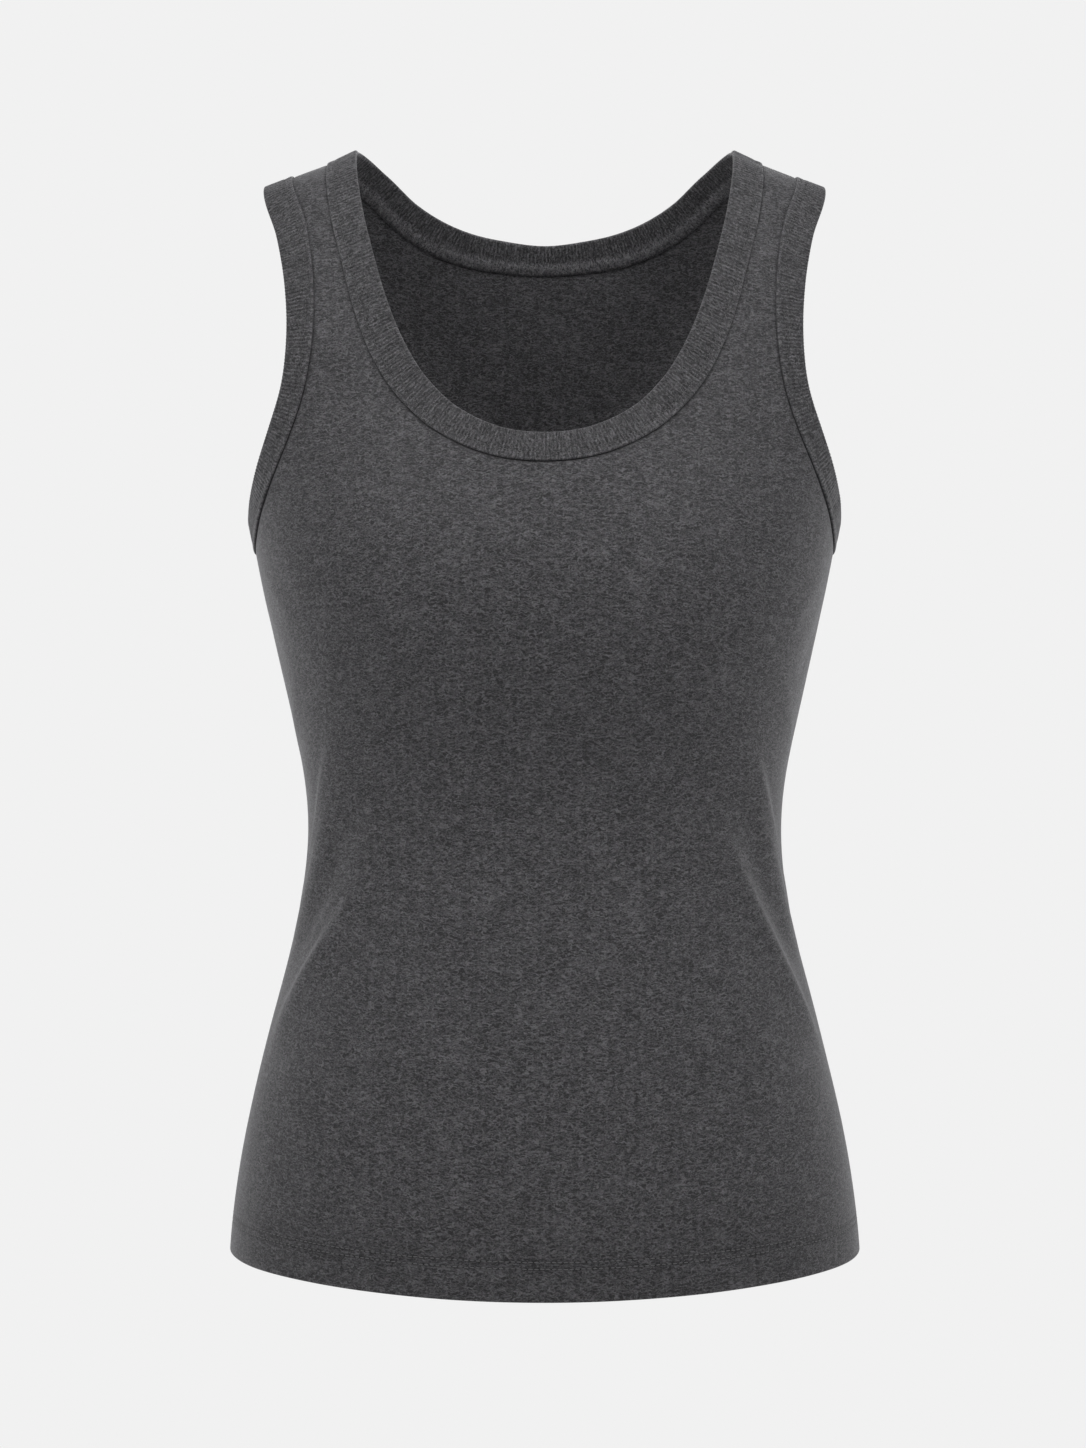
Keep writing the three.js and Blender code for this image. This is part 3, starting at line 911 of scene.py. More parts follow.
@dataclass
class Stitching:
    """A row of stitches along a path, one straight stitch after another or a zigzag."""

    name: str
    paths: tuple[Path, ...]
    pitch: float = 0.0026
    reach: float = 0.80
    radius: float = 0.00017
    flatness: float = 0.75
    zigzag: float = 0.0
    unevenness: float = 0.05

    def prototype(self) -> tuple[Array, Array]:
        """One stitch with half axes of one, modelled once.

        Returns:
            Its vertices and its triangles.
        """
        bpy.ops.object.select_all(action="DESELECT")
        bpy.ops.mesh.primitive_uv_sphere_add(segments=6, ring_count=5, radius=1.0)
        ball = bpy.context.active_object
        bpy.ops.object.mode_set(mode="EDIT")
        bpy.ops.mesh.select_all(action="SELECT")
        bpy.ops.transform.rotate(value=0.5 * math.pi, orient_axis="Y", center_override=(0.0, 0.0, 0.0))
        bpy.ops.mesh.quads_convert_to_tris()
        bpy.ops.object.mode_set(mode="OBJECT")
        vertices = np.array([vertex.co[:] for vertex in ball.data.vertices])
        faces = np.array([face.vertices[:] for face in ball.data.polygons])
        bpy.data.objects.remove(ball)
        return vertices, faces

    def build(self) -> bpy.types.Object:
        """Lays the stitches and joins them to one mesh.

        Returns:
            The finished piece.
        """
        vertices, faces = self.prototype()
        random = np.random.default_rng(SEED + len(self.name))
        points, cells = [], []
        for path in self.paths:
            total = lengths_along(path.points)[-1]
            count = max(round(total / self.pitch), 1)
            legs = 2 * count if self.zigzag else count
            step = total / legs
            middle = (np.arange(legs) + 0.5) * step
            turn = self.zigzag * np.where(np.arange(legs) % 2, -1.0, 1.0)
            centre, outward, across = path.at(middle)
            ahead = path.at(np.minimum(middle + 0.25 * step, total))[0] - path.at(np.maximum(middle - 0.25 * step, 0.0))[0]
            run = unit(ahead) * step + across * 2.0 * turn[:, None]
            half = 0.5 * np.linalg.norm(run, axis=1) * (1.0 if self.zigzag else self.reach)
            run = unit(run)
            aside = np.cross(outward, run)
            half = half * (1.0 + self.unevenness * random.uniform(-1.0, 1.0, legs))
            centre = centre + aside * (random.uniform(-0.5, 0.5, legs) * self.radius * 0.5)[:, None]
            shape = (
                run[:, None] * (vertices[None, :, :1] * half[:, None, None])
                + aside[:, None] * vertices[None, :, 1:2] * self.radius
                + outward[:, None] * vertices[None, :, 2:] * self.radius * self.flatness
            )
            start = sum(len(part) for part in points)
            points.append((centre[:, None] + shape).reshape(-1, 3))
            cells.append((start + np.arange(legs)[:, None, None] * len(vertices) + faces[None]).reshape(-1, 3))
        piece = new_mesh(self.name, np.concatenate(points), np.concatenate(cells))
        log.info("%s: %d faces", self.name, len(piece.data.polygons))
        return piece


@dataclass
class Allowance:
    """A seam's two layers of cloth inside the garment, laid flat to one side and overlocked."""

    name: str
    path: Path
    width: float = 0.0056
    inner_out: float = -0.00135
    outer_out: float = 0.00015
    columns: int = 6
    area: float = 0.0
    length: float = 0.0

    def build(self) -> bpy.types.Object:
        """Sweeps a flat closed strip along the seam.

        Returns:
            The finished piece.
        """
        path = self.path
        share = np.linspace(0.0, 1.0, self.columns + 1)
        soft = 1.0 - 0.35 * share**3
        wave = 0.00012 * np.sin(lengths_along(path.points) / 0.0071)[:, None]
        across = np.concatenate([share, share[::-1]]) * self.width
        layer = np.concatenate([self.inner_out * soft, np.full(self.columns + 1, self.outer_out)])
        out = layer[None, :] + wave * (layer < 0.0)
        points = path.points[:, None] + path.across[:, None] * across[None, :, None] + path.outward[:, None] * out[..., None]
        count, corners = points.shape[:2]
        station = np.arange(count - 1)[:, None] * corners
        corner = np.arange(corners)[None, :]
        turned = (corner + 1) % corners
        faces = np.stack([station + corner, station + corners + corner, station + corners + turned, station + turned], axis=-1)
        faces = faces.reshape(-1, 4)
        half = np.arange(self.columns)
        cap = np.stack([half, half + 1, corners - 2 - half, corners - 1 - half], axis=1)
        last = cap[:, ::-1] + (count - 1) * corners
        run = lengths_along(path.points)[:, None]
        uv = np.stack([run + 0.0 * out, across[None, :] + 0.0 * out], axis=-1).reshape(-1, 2)
        piece = new_mesh(self.name, points.reshape(-1, 3), np.concatenate([faces, cap, last]), uv)
        set_attribute(piece, "shade", np.ones(count * corners))
        recalculate(piece)
        self.area = 0.5 * sheet_area(piece)
        self.length = float(run[-1, 0])
        return piece


@dataclass(frozen=True)
class StripRow:
    """A line of a panel beside its edge: distance in, and how deep it lies by a binding or a seam, and the shade
    painted into its colour there.
    """

    distance: float
    bound_depth: float
    bound_painted_shade: float
    sewn_depth: float
    sewn_painted_shade: float


# Beside a binding the cloth is painted darker in a thin line, a painted shadow under the binding's edge; beside a side
# seam it is painted darker towards the seam, painted shade in its groove.
STRIP = (
    StripRow(0.0040, 0.0, 1.0, 0.0, 1.0),
    StripRow(0.0030, 0.00004, 0.95, 0.0, 1.0),
    StripRow(0.0024, 0.00014, 0.78, 0.00003, 1.0),
    StripRow(0.0019, 0.00034, 0.42, 0.00008, 0.97),
    StripRow(0.0015, 0.00040, 0.34, 0.00015, 0.92),
    StripRow(0.0010, 0.00020, 0.45, 0.00027, 0.82),
    StripRow(0.0004, 0.0, 0.8, 0.00045, 0.62),
    StripRow(0.0, 0.0, 0.8, 0.00060, 0.45),
)


@dataclass(frozen=True)
class Hem:
    """The turned-up hem, in lengths up from its folded edge."""

    depth: float = HEM_DEPTH
    needle_rows: tuple[float, float] = (0.0162, 0.0195)
    needle_sink: float = 0.00022
    needle_reach: float = 0.0006
    # Painted shade: darker in the two needle rows' grooves, and darker over the low hem, where less light falls.
    needle_painted_shade: float = 0.50
    low_painted_shade: float = 0.10
    outer_rows: tuple[float, ...] = (
        0.0016, 0.0032, 0.0052, 0.0076, 0.0102, 0.0128, 0.0146, 0.0155, 0.0162, 0.0169,
        0.0178, 0.0188, 0.0195, 0.0202, 0.0211, 0.0224, 0.0244, 0.0266,
    )  # fmt: skip
    inner_rows: tuple[float, ...] = (0.0020, 0.0045, 0.0075, 0.0105, 0.0135, 0.0162, 0.0180, 0.0195, 0.0206)
    fold_steps: int = 6
    layer_gap: float = 0.00012

    def sink(self, height: Array) -> Array:
        """How deep the two rows of stitches pull the cloth in."""
        total = np.zeros(np.shape(height))
        for row in self.needle_rows:
            total += self.needle_sink * np.exp(-(((height - row) / self.needle_reach) ** 2))
        return total


@dataclass
class Panel:
    """The front or the back, one piece of jersey from side seam to side seam with its hem turned up inside."""

    name: str
    form: Form
    is_back: bool
    neck: CutEdge
    armhole: CutEdge
    neck_z: float
    neck_rows: int
    hem: Hem = field(default_factory=Hem)
    thickness: float = 0.0008
    middle: float = 0.0008
    columns: int = 76
    body_rows: int = 124
    armhole_rows: int = 96
    shoulder_ease: float = 1.15
    level_z: float = -0.330
    row_sag: float = 0.030
    edge_gap: float = 0.00005
    shoulder_gap: float = 0.0004
    shoulder_depth: float = 0.0004
    shoulder_reach: float = 0.0012
    # The shoulder seam's groove is also painted darker, a painted shade.
    shoulder_painted_shade: float = 0.45
    strap_softness: float = 0.5
    area: float = 0.0
    flat: tuple[float, float] = (0.0, 0.0)

    def eased(self, edge: CutEdge, steps: int, start: float) -> Stations:
        """Places along an edge from a length on, closer together towards the shoulder.

        Args:
            edge: The cut edge.
            steps: Number of steps.
            start: Length along the edge where the first place lies.

        Returns:
            One place more than the steps.
        """
        curve = edge.curve()
        length = lengths_along(self.form.point(curve.angle, curve.way))
        share = 1.0 - (1.0 - np.linspace(0.0, 1.0, steps + 1)) ** self.shoulder_ease
        at = start + (length[-1] - start) * share
        columns = (curve.angle, curve.way, curve.band)
        return Stations(*(np.interp(at, length, column) for column in columns))

    def heights(self) -> Array:
        """Heights of the outer layer's rows, from the hem's fold to the underarm."""
        hem = HEM_Z + np.array(self.hem.outer_rows)
        above = np.linspace(hem[-1], UNDERARM_Z, self.body_rows + 1)[1:]
        return np.concatenate([hem, above])

    def sides(self) -> tuple[Stations, Stations, Stations, Stations, Array, Array]:
        """The ends of the outer layer's rows.

        Returns:
            The rows' inner ends, their outer ends a margin short of the edge, the edge itself, the neck's edge,
            the share of each row's sag, and the share of the hem's rise.
        """
        form = self.form
        margin = STRIP[0].distance
        heights = self.heights()
        raised = smoothstep(heights, self.level_z, UNDERARM_Z)
        neck_edge = self.eased(self.neck, self.neck_rows, 0.0)
        neck = inset(form, neck_edge, -1.0 if self.is_back else 1.0, margin)
        neck.angle[0] = 0.0
        neck.way[-1] = 1.0
        front_z = FRONT_NECK_Z - margin
        middle_z = heights + raised * (front_z - UNDERARM_Z)
        extra = self.armhole_rows - self.neck_rows
        rest = np.arange(1, extra + 1) / max(extra, 1)
        middle_z = np.concatenate([middle_z, front_z + (self.neck_z - margin - front_z) * rest])
        middle_z[-1] = self.form.point(neck.angle[:1], neck.way[:1])[0, 2]
        none = np.zeros(len(middle_z))
        middle = Stations(none, form.way_at(none, middle_z, self.is_back), none)
        inside = joined(middle, neck.part(1))

        depth = (form.back if self.is_back else form.front)(heights)
        edge_angle = 0.5 * math.pi - self.edge_gap / depth
        side_edge = Stations(edge_angle, form.way_at(edge_angle, heights, self.is_back), depth * 0.0)
        margin_angle = 0.5 * math.pi - margin / depth
        lowered = heights - margin * raised
        side = Stations(margin_angle, form.way_at(margin_angle, lowered, self.is_back), depth * 0.0)
        arm_edge = self.eased(self.armhole, self.armhole_rows, 0.0)
        arm = inset(form, self.eased(self.armhole, self.armhole_rows, margin), 1.0 if self.is_back else -1.0, margin)
        arm.way[-1] = 1.0
        outside = joined(side, arm.part(1))
        edge = joined(side_edge, arm_edge.part(1))

        fading = (1.0 - np.arange(1, self.armhole_rows + 1) / self.armhole_rows) ** 2
        rising = 1.0 - smoothstep(heights, HEM_Z, HEM_RISE_TOP)
        sagging = np.concatenate([raised, fading])
        return inside, outside, edge, neck_edge, sagging, np.concatenate([rising, fading * 0.0])

    def build(self) -> bpy.types.Object:
        """Makes the panel as one welded sheet and gives it its thickness.

        Returns:
            The finished piece.
        """
        inside, outside, edge, neck_edge, sagging, rising = self.sides()
        form = self.form
        down = 1.0 if self.is_back else -1.0
        share = np.linspace(0.0, 1.0, self.columns + 1)[None, :]
        angle = inside.angle[:, None] + (outside.angle - inside.angle)[:, None] * share
        way = inside.way[:, None] + (outside.way - inside.way)[:, None] * share
        way = way + down * self.row_sag / form.arch_below * sagging[:, None] * 4.0 * share * (1.0 - share)
        toward = np.array([1.0 - row.distance / STRIP[0].distance for row in STRIP[1:]])[None, :]
        strip_angle = outside.angle[:, None] + (edge.angle - outside.angle)[:, None] * toward
        strip_way = outside.way[:, None] + (edge.way - outside.way)[:, None] * toward
        angle = np.hstack([angle, strip_angle])
        way = np.hstack([way, strip_way])
        aside = smoothstep(np.abs(angle), 0.0, HEM_RISE_ANGLE)
        way = way - down * HEM_RISE / form.arch_below * rising[:, None] * aside
        way[-1] += down * self.shoulder_gap

        # The relief gives the sink beside seams and stitches and the shade painted into the colour there.
        sink, shade = self.relief(angle, way, len(self.heights()))
        out = self.middle - sink
        angle, way, out, shade, z_shift, v_turn = self.turned_up(angle, way, out, shade)

        points, faces, uvs, painted_shadings = [], [], [], []
        for side in (1.0, -1.0):
            flip = (side > 0.0) == self.is_back
            grid = self.block(side * angle, way, out, z_shift)
            uv = self.cloth_uv(side * angle, way, v_turn)
            self.add_block(points, faces, uvs, painted_shadings, grid, uv, shade, flip)
            neck_angle, neck_way, neck_out, neck_painted_shading = self.neck_strip(inside, neck_edge)
            grid = self.block(side * neck_angle, neck_way, neck_out, np.zeros(neck_angle.shape))
            uv = self.cloth_uv(side * neck_angle, neck_way, None)
            self.add_block(points, faces, uvs, painted_shadings, grid, uv, neck_painted_shading, flip)
        points = np.concatenate(points)
        piece = new_mesh(self.name, points, np.concatenate(faces), np.concatenate(uvs))
        set_attribute(piece, "shade", np.concatenate(painted_shadings))
        weld(piece, 2e-6)
        self.area = sheet_area(piece)
        width = 2.0 * float(form.round_length(np.array([0.5 * math.pi]), np.array([way[len(v_turn), 0]]))[0])
        height = float(points[:, 2].max() - HEM_Z) + self.hem.depth
        self.flat = (width, height)
        thicken(piece, self.thickness)
        log.info("%s: %d faces, %.3f square metres", self.name, len(piece.data.polygons), self.area)
        return piece

    def relief(self, angle: Array, way: Array, body: int) -> tuple[Array, Array]:
        """How deep the outer layer lies beside its seams and its rows of stitches, and the shade painted into its
        colour there.

        Args:
            angle: Angles of the outer layer's places, a row for each row of the panel.
            way: Ways of the same places.
            body: Number of rows below the underarm.

        Returns:
            Depths, and shades painted into the colour.
        """
        sink = np.zeros(angle.shape)
        shade = np.ones(angle.shape)
        strip = np.array([[r.bound_depth, r.bound_painted_shade, r.sewn_depth, r.sewn_painted_shade] for r in STRIP[1:]])
        first = self.columns + 1
        # Beside the side seams and the bindings the cloth sinks and is painted darker, as painted shade.
        sink[:body, first:] = strip[:, 2]
        shade[:body, first:] = strip[:, 3]
        place = self.form.point(angle[body:], way[body:])
        strong = self.seam_strength(place[:, first:, 2])
        sink[body:, first:] = strip[:, 0] * strong
        shade[body:, first:] = 1.0 - (1.0 - strip[:, 1]) * strong
        sink[body - 1, first:] = np.maximum(strip[:, 0], strip[:, 2])
        # The needle rows sink and are painted darker, and the rows near the hem are painted darker, as painted shade.
        pulled = self.hem.sink(self.heights() - HEM_Z)[:, None]
        sink[:body] += pulled
        low = 1.0 - smoothstep(self.heights() - HEM_Z, self.hem.depth, 2.0 * self.hem.depth)
        shade[:body] *= 1.0 - self.hem.needle_painted_shade * pulled / self.hem.needle_sink - self.hem.low_painted_shade * low[:, None]
        # The shoulder seam sinks and is painted darker in its groove, as painted shade.
        groove = self.shoulder_groove(np.linalg.norm(place - place[-1:], axis=-1))
        sink[body:] += self.shoulder_depth * groove
        shade[body:] *= 1.0 - self.shoulder_painted_shade * groove
        return sink, shade

    def seam_strength(self, z: Array) -> Array:
        """How strongly a binding's seam shows at a height, in its groove and its painted shade: softer up the straps.
        """
        return 1.0 - self.strap_softness * smoothstep(z, -0.150, -0.060)

    def shoulder_groove(self, distance: Array) -> Array:
        """The share of the shoulder seam's depth and painted shade at a distance from it."""
        return np.exp(-((distance / self.shoulder_reach) ** 2))

    def turned_up(
        self, angle: Array, way: Array, out: Array, shade: Array
    ) -> tuple[Array, Array, Array, Array, Array, Array]:
        """Adds the hem's fold and its inner layer below the outer layer's rows.

        Args:
            angle: Angles of the outer layer.
            way: Ways of the outer layer.
            out: Its lengths out.
            shade: Its shades.

        Returns:
            The same four for all rows, from the raw edge inside, then a shift in height for each place, and how far
            each added row lies past the lowest outer row, along the cloth.
        """
        hem = self.hem
        half = 0.5 * self.thickness
        radius = half + 0.5 * hem.layer_gap
        turn = np.linspace(math.pi, 0.0, hem.fold_steps + 1)
        fold_height = half + radius * (1.0 - np.sin(turn))
        fold_out = -radius * (1.0 - np.cos(turn))
        inner = np.array(hem.inner_rows[::-1])
        height = np.concatenate([inner, fold_height])
        fold_out = np.concatenate([np.full(len(inner), -2.0 * radius), fold_out])
        before_fold = hem.outer_rows[0] - half - radius
        past_fold = before_fold + radius * turn
        along = np.concatenate([inner - half - radius + past_fold[0], past_fold])
        base = np.repeat(way[:1], len(height), axis=0)
        shift = (height - hem.outer_rows[0])[:, None] + np.zeros_like(base)
        added = out[:1] + fold_out[:, None]
        return (
            np.vstack([np.repeat(angle[:1], len(height), axis=0), angle]),
            np.vstack([base, way]),
            np.vstack([added, out]),
            np.vstack([np.repeat(shade[:1], len(height), axis=0), shade]),
            np.vstack([shift, np.zeros(way.shape)]),
            along,
        )

    def block(self, angle: Array, way: Array, out: Array, shift: Array) -> Array:
        """The points of a grid of places, with those of the hem shifted along the sheet.

        Args:
            angle: Angles.
            way: Ways.
            out: Lengths out.
            shift: Shifts in height, below the arch.

        Returns:
            The points.
        """
        up = -1.0 if self.is_back else 1.0
        return self.form.cloth(angle, way + up * shift / self.form.arch_below, out)

    def cloth_uv(self, angle: Array, way: Array, turn: Array | None) -> Array:
        """The cloth's own coordinates: length round and length up, in metres.

        Args:
            angle: Angles.
            way: Ways.
            turn: How far each added row of the hem lies past the lowest outer row, or None where there are none.

        Returns:
            The coordinates.
        """
        u = self.form.round_length(angle, way) + (1.0 if self.is_back else 0.0)
        v = self.form.rise_length(angle, way)
        if turn is not None:
            v[: len(turn)] -= turn[:, None]
        return np.stack([u, v], axis=-1)

    def neck_strip(self, inside: Stations, neck_edge: Stations) -> tuple[Array, Array, Array, Array]:
        """The places of the strip beside the neck: angles, ways, lengths out and shades painted into the colour."""
        start = len(inside.angle) - self.neck_rows - 1
        toward = np.array([1.0 - row.distance / STRIP[0].distance for row in STRIP])[:, None]
        begin = inside.part(start)
        angle = begin.angle + (neck_edge.angle - begin.angle) * toward
        way = begin.way + (neck_edge.way - begin.way) * toward
        place = self.form.point(angle, way)
        strong = self.seam_strength(place[..., 2])
        # The strip sinks beside the neck binding and carries its thin line of painted shadow.
        depth = np.array([row.bound_depth for row in STRIP])[:, None] * strong
        shade = 1.0 - (1.0 - np.array([row.bound_painted_shade for row in STRIP])[:, None]) * strong
        groove = self.shoulder_groove(np.linalg.norm(place - place[:, -1:], axis=-1))
        way[:, -1] += (1.0 if self.is_back else -1.0) * self.shoulder_gap
        return angle, way, self.middle - depth - self.shoulder_depth * groove, shade * (1.0 - self.shoulder_painted_shade * groove)

    def hem_path(self, height: float, out: float) -> Path:
        """A line round the panel's hem, from side to side, for its stitches.

        Args:
            height: Height above the hem's lowest edge.
            out: Length out from the cloth's inner face.

        Returns:
            The line.
        """
        form = self.form
        angle = np.linspace(-0.5 * math.pi + 0.002, 0.5 * math.pi - 0.002, 400)
        up = -1.0 if self.is_back else 1.0
        rise = HEM_RISE * smoothstep(np.abs(angle), 0.0, HEM_RISE_ANGLE)
        way = form.way_at(angle, HEM_Z + height + 0.0 * angle, self.is_back) + up * rise / form.arch_below
        points = form.cloth(angle, way, out)
        outward = form.normal(angle, way)
        return Path(points, outward, unit(np.cross(outward, np.gradient(points, axis=0))))

    @staticmethod
    def add_block(
        points: list[Array], faces: list[Array], uvs: list[Array], painted_shadings: list[Array],
        grid: Array, uv: Array, shade: Array, flip: bool,
    ) -> None:  # fmt: skip
        """Adds a grid of places to a mesh's lists.

        Args:
            points: Vertices so far, in parts.
            faces: Faces so far, in parts.
            uvs: Cloth coordinates so far, in parts.
            painted_shadings: Shades so far, in parts.
            grid: The new points, by row and column.
            uv: Their cloth coordinates.
            shade: Their shades.
            flip: Whether the faces turn the other way.
        """
        start = sum(len(part) for part in points)
        faces.append(start + grid_faces(*shade.shape, flip))
        points.append(grid.reshape(-1, 3))
        uvs.append(uv.reshape(-1, 2))
        painted_shadings.append(shade.ravel())


def grid_faces(rows: int, columns: int, flip: bool) -> Array:
    """The four-sided faces of a grid whose vertices are counted row by row.

    Args:
        rows: Rows of vertices.
        columns: Columns of vertices.
        flip: Whether the faces turn the other way.

    Returns:
        The vertices of each face.
    """
    first = (np.arange(rows - 1)[:, None] * columns + np.arange(columns - 1)[None, :]).ravel()
    faces = np.stack([first, first + 1, first + columns + 1, first + columns], axis=1)
    return faces[:, ::-1] if flip else faces


@dataclass(frozen=True)
class ProfileRow:
    """A corner of a binding's section: place from the seam towards the fold, and length out from the inner face."""

    across: float
    out: float


@dataclass
class Binding:
    """A rib strip folded over a cut edge and closed to a ring."""

    name: str
    form: Form
    ring: Stations
    side: float
    stands: bool
    step: float = 0.0005
    rib_pitch: float = 0.0020
    rib_height: float = 0.00013
    lip_radius: float = 0.0013
    stitch_place: float = 0.0030
    back_stand: float = 0.0012
    swell_top: float = 0.10
    swell_end: float = 0.36
    length: float = 0.0
    area: float = 0.0
    outer_start: tuple[ProfileRow, ...] = (
        ProfileRow(-0.0013, 0.00125),
        ProfileRow(-0.00125, 0.00165),
        ProfileRow(-0.0009, 0.00200),
        ProfileRow(-0.0003, 0.00212),
        ProfileRow(0.0005, 0.00206),
        ProfileRow(0.0015, 0.00197),
        ProfileRow(0.0024, 0.00188),
        ProfileRow(0.0030, 0.00178),
        ProfileRow(0.0036, 0.00188),
        ProfileRow(0.0046, 0.00198),
    )
    outer_rows: int = 7
    lip_rows: int = 9
    inner_rows: tuple[float, ...] = (0.80, 0.60, 0.45)
    inner_out: float = -0.0006
    inner_end: tuple[ProfileRow, ...] = (
        ProfileRow(0.0046, -0.00048),
        ProfileRow(0.0036, -0.00072),
        ProfileRow(0.0022, -0.00082),
        ProfileRow(0.0008, -0.00072),
        ProfileRow(-0.0008, -0.00050),
        ProfileRow(-0.0021, -0.00025),
        ProfileRow(-0.0022, 0.00010),
    )
    inside: tuple[tuple[float, float], ...] = ((0.10, 0.0003), (0.55, 0.0003), (0.86, 0.0007), (0.55, 0.0012), (0.10, 0.0012))

    def stations(self) -> tuple[Array, Array, Array, Array, Array]:
        """Evenly spaced places round the ring.

        Returns:
            Seam points, outward normals, directions towards the fold, band widths, and how far the fold stands off.
        """
        ring = self.ring
        length = lengths_along(self.form.point(ring.angle, ring.way))
        self.length = float(length[-1])
        count = round(self.length / self.step)
        at = self.length * np.arange(count) / count
        angle, way, band = (np.interp(at, length, column) for column in (ring.angle, ring.way, ring.band))
        seam = self.form.point(angle, way)
        normal = self.form.normal(angle, way)
        run = np.roll(seam, -3, axis=0) - np.roll(seam, 3, axis=0)
        across = unit(np.cross(normal, run)) * self.side
        up = np.where(way > 1.0, 2.0 - way, way)
        behind = np.maximum(way - 1.0, 0.0)
        swell = smoothstep(behind, 0.0, self.swell_top) * (1.0 - smoothstep(behind, self.swell_top, self.swell_end))
        rise = NECK_STAND * np.maximum(up, 0.0) ** NECK_STAND_POWER + self.back_stand * swell
        stand = rise if self.stands else up * 0.0
        lift = self.form.lift(angle, way, seam)
        return seam + normal * lift[:, None], normal, across, band, stand

    def profile(self, band: Array) -> tuple[Array, Array, Array]:
        """The section at every station.

        Args:
            band: Width of the binding at each station.

        Returns:
            Places across and lengths out, by station and corner, and the share of the ribs' height at each corner.
        """
        width = band[:, None]
        ones = np.ones_like(width)
        start = np.array([row.across for row in self.outer_start])
        share = np.arange(1, self.outer_rows + 1) / self.outer_rows
        lip = width - self.lip_radius
        outer = start[-1] + (lip - start[-1]) * share
        turn = np.linspace(0.5 * math.pi, -0.5 * math.pi, self.lip_rows + 2)[1:-1]
        middle = 0.5 * (0.00198 + self.inner_out)
        round_out = middle + (0.00198 - middle) * np.sin(turn)
        fold = lip + self.lip_radius * np.cos(turn)
        inner = lip * np.array((1.0, *self.inner_rows))
        end = np.array([row.across for row in self.inner_end])
        hidden = lip * np.array([place for place, _ in self.inside])
        across = np.hstack([start * ones, outer, fold, inner, end * ones, hidden])
        out = np.concatenate([
            [row.out for row in self.outer_start],
            np.full(self.outer_rows, 0.00198),
            round_out,
            np.full(len(self.inner_rows) + 1, self.inner_out),
            [row.out for row in self.inner_end],
            [height for _, height in self.inside],
        ])
        ribs = np.concatenate([
            np.clip((start - start[0]) / 0.002, 0.0, 1.0),
            np.ones(self.outer_rows),
            np.abs(np.sin(turn)) ** 1.5 * 0.9 + 0.1,
            np.ones(len(self.inner_rows) + 1),
            np.zeros(len(self.inner_end) + len(self.inside)),
        ])
        return across, out * ones, ribs

    def build(self) -> bpy.types.Object:
        """Sweeps the section round the ring, with its ribs.

        Returns:
            The finished piece.
        """
        seam, normal, across, band, stand = self.stations()
        place, out, ribs = self.profile(band)
        random = np.random.default_rng(SEED + len(self.name))
        count = len(seam)
        corners = place.shape[1]
        at = self.length * np.arange(count)[:, None] / count
        wander = self.wave(at, place, random, 0.020, 0.00035)
        uneven = 1.0 + self.wave(at, place, random, 0.012, 0.35)
        turns = round(self.length / self.rib_pitch)
        phase = 2.0 * math.pi * turns * (at + wander) / self.length
        rib = self.rib_height * uneven * ribs * np.sin(phase)
        outer = np.zeros(corners)
        top = len(self.outer_start) + self.outer_rows
        outer[:top] = 1.0
        turn = np.linspace(0.5 * math.pi, -0.5 * math.pi, self.lip_rows + 2)[1:-1]
        outer[top : top + self.lip_rows] = np.sin(turn)
        outer[top + self.lip_rows :] = -1.0
        away = np.zeros(corners)
        away[top : top + self.lip_rows] = np.cos(turn)
        far = out + stand[:, None] * np.clip(place / band[:, None], 0.0, 1.0) + rib * outer
        beside = place + rib * away
        points = seam[:, None] + across[:, None] * beside[..., None] + normal[:, None] * far[..., None]
        station = np.arange(count)[:, None]
        corner = np.arange(corners)[None, :]
        follow = (station + 1) % count
        turned = (corner + 1) % corners
        here = station * corners
        there = follow * corners
        faces = np.stack([here + corner, here + turned, there + turned, there + corner], axis=-1).reshape(-1, 4)
        faces = faces[:, ::-1] if self.side > 0.0 else faces
        uv = np.stack([at + place * 0.0, np.cumsum(np.abs(np.diff(place, axis=1, prepend=place[:, :1])), axis=1)], axis=-1)
        piece = new_mesh(self.name, points.reshape(-1, 3), faces, uv.reshape(-1, 2))
        # Painted light on the band: darker in the rib valleys and at the stitch line, as painted shade; lighter along
        # the seam edge, the folded lip and the stitched ridge inside, as painted highlights; a little lighter overall.
        shown = np.arange(corners) < top
        dip = np.exp(-(((place - self.stitch_place) / 0.00045) ** 2)) * shown
        edge = np.exp(-(((place + 0.0006) / 0.0006) ** 2)) * shown
        lip = np.zeros(corners)
        lip[top : top + self.lip_rows] = np.maximum(np.cos(turn - 0.5), 0.0)
        hidden = ~shown & (np.arange(corners) < corners - len(self.inside))
        sewn = np.exp(-(((place - 0.0022) / 0.0018) ** 2)) * hidden
        uneven_rib = 0.5 - 0.5 * np.sin(phase + 0.6 * np.sin(2.3 * phase))
        shade = 1.07 - 0.50 * ribs * uneven_rib - 0.32 * dip + 0.14 * edge + 0.12 * lip + 0.50 * sewn
        set_attribute(piece, "shade", shade.ravel())
        self.area = 0.5 * sheet_area(piece)
        log.info("%s: %d faces, %.0f mm round", self.name, len(piece.data.polygons), self.length / MILLIMETRE)
        return piece

    def path(self, place: float, out: float) -> Path:
        """A closed line round the band, for its stitches.

        Args:
            place: Distance from the seam towards the fold.
            out: Length out from the inner face.

        Returns:
            The line.
        """
        seam, normal, across, band, stand = self.stations()
        far = out + stand * place / band
        points = seam + across * place + normal * far[:, None]
        return Path(*(np.vstack([part, part[:1]]) for part in (points, normal, across)))

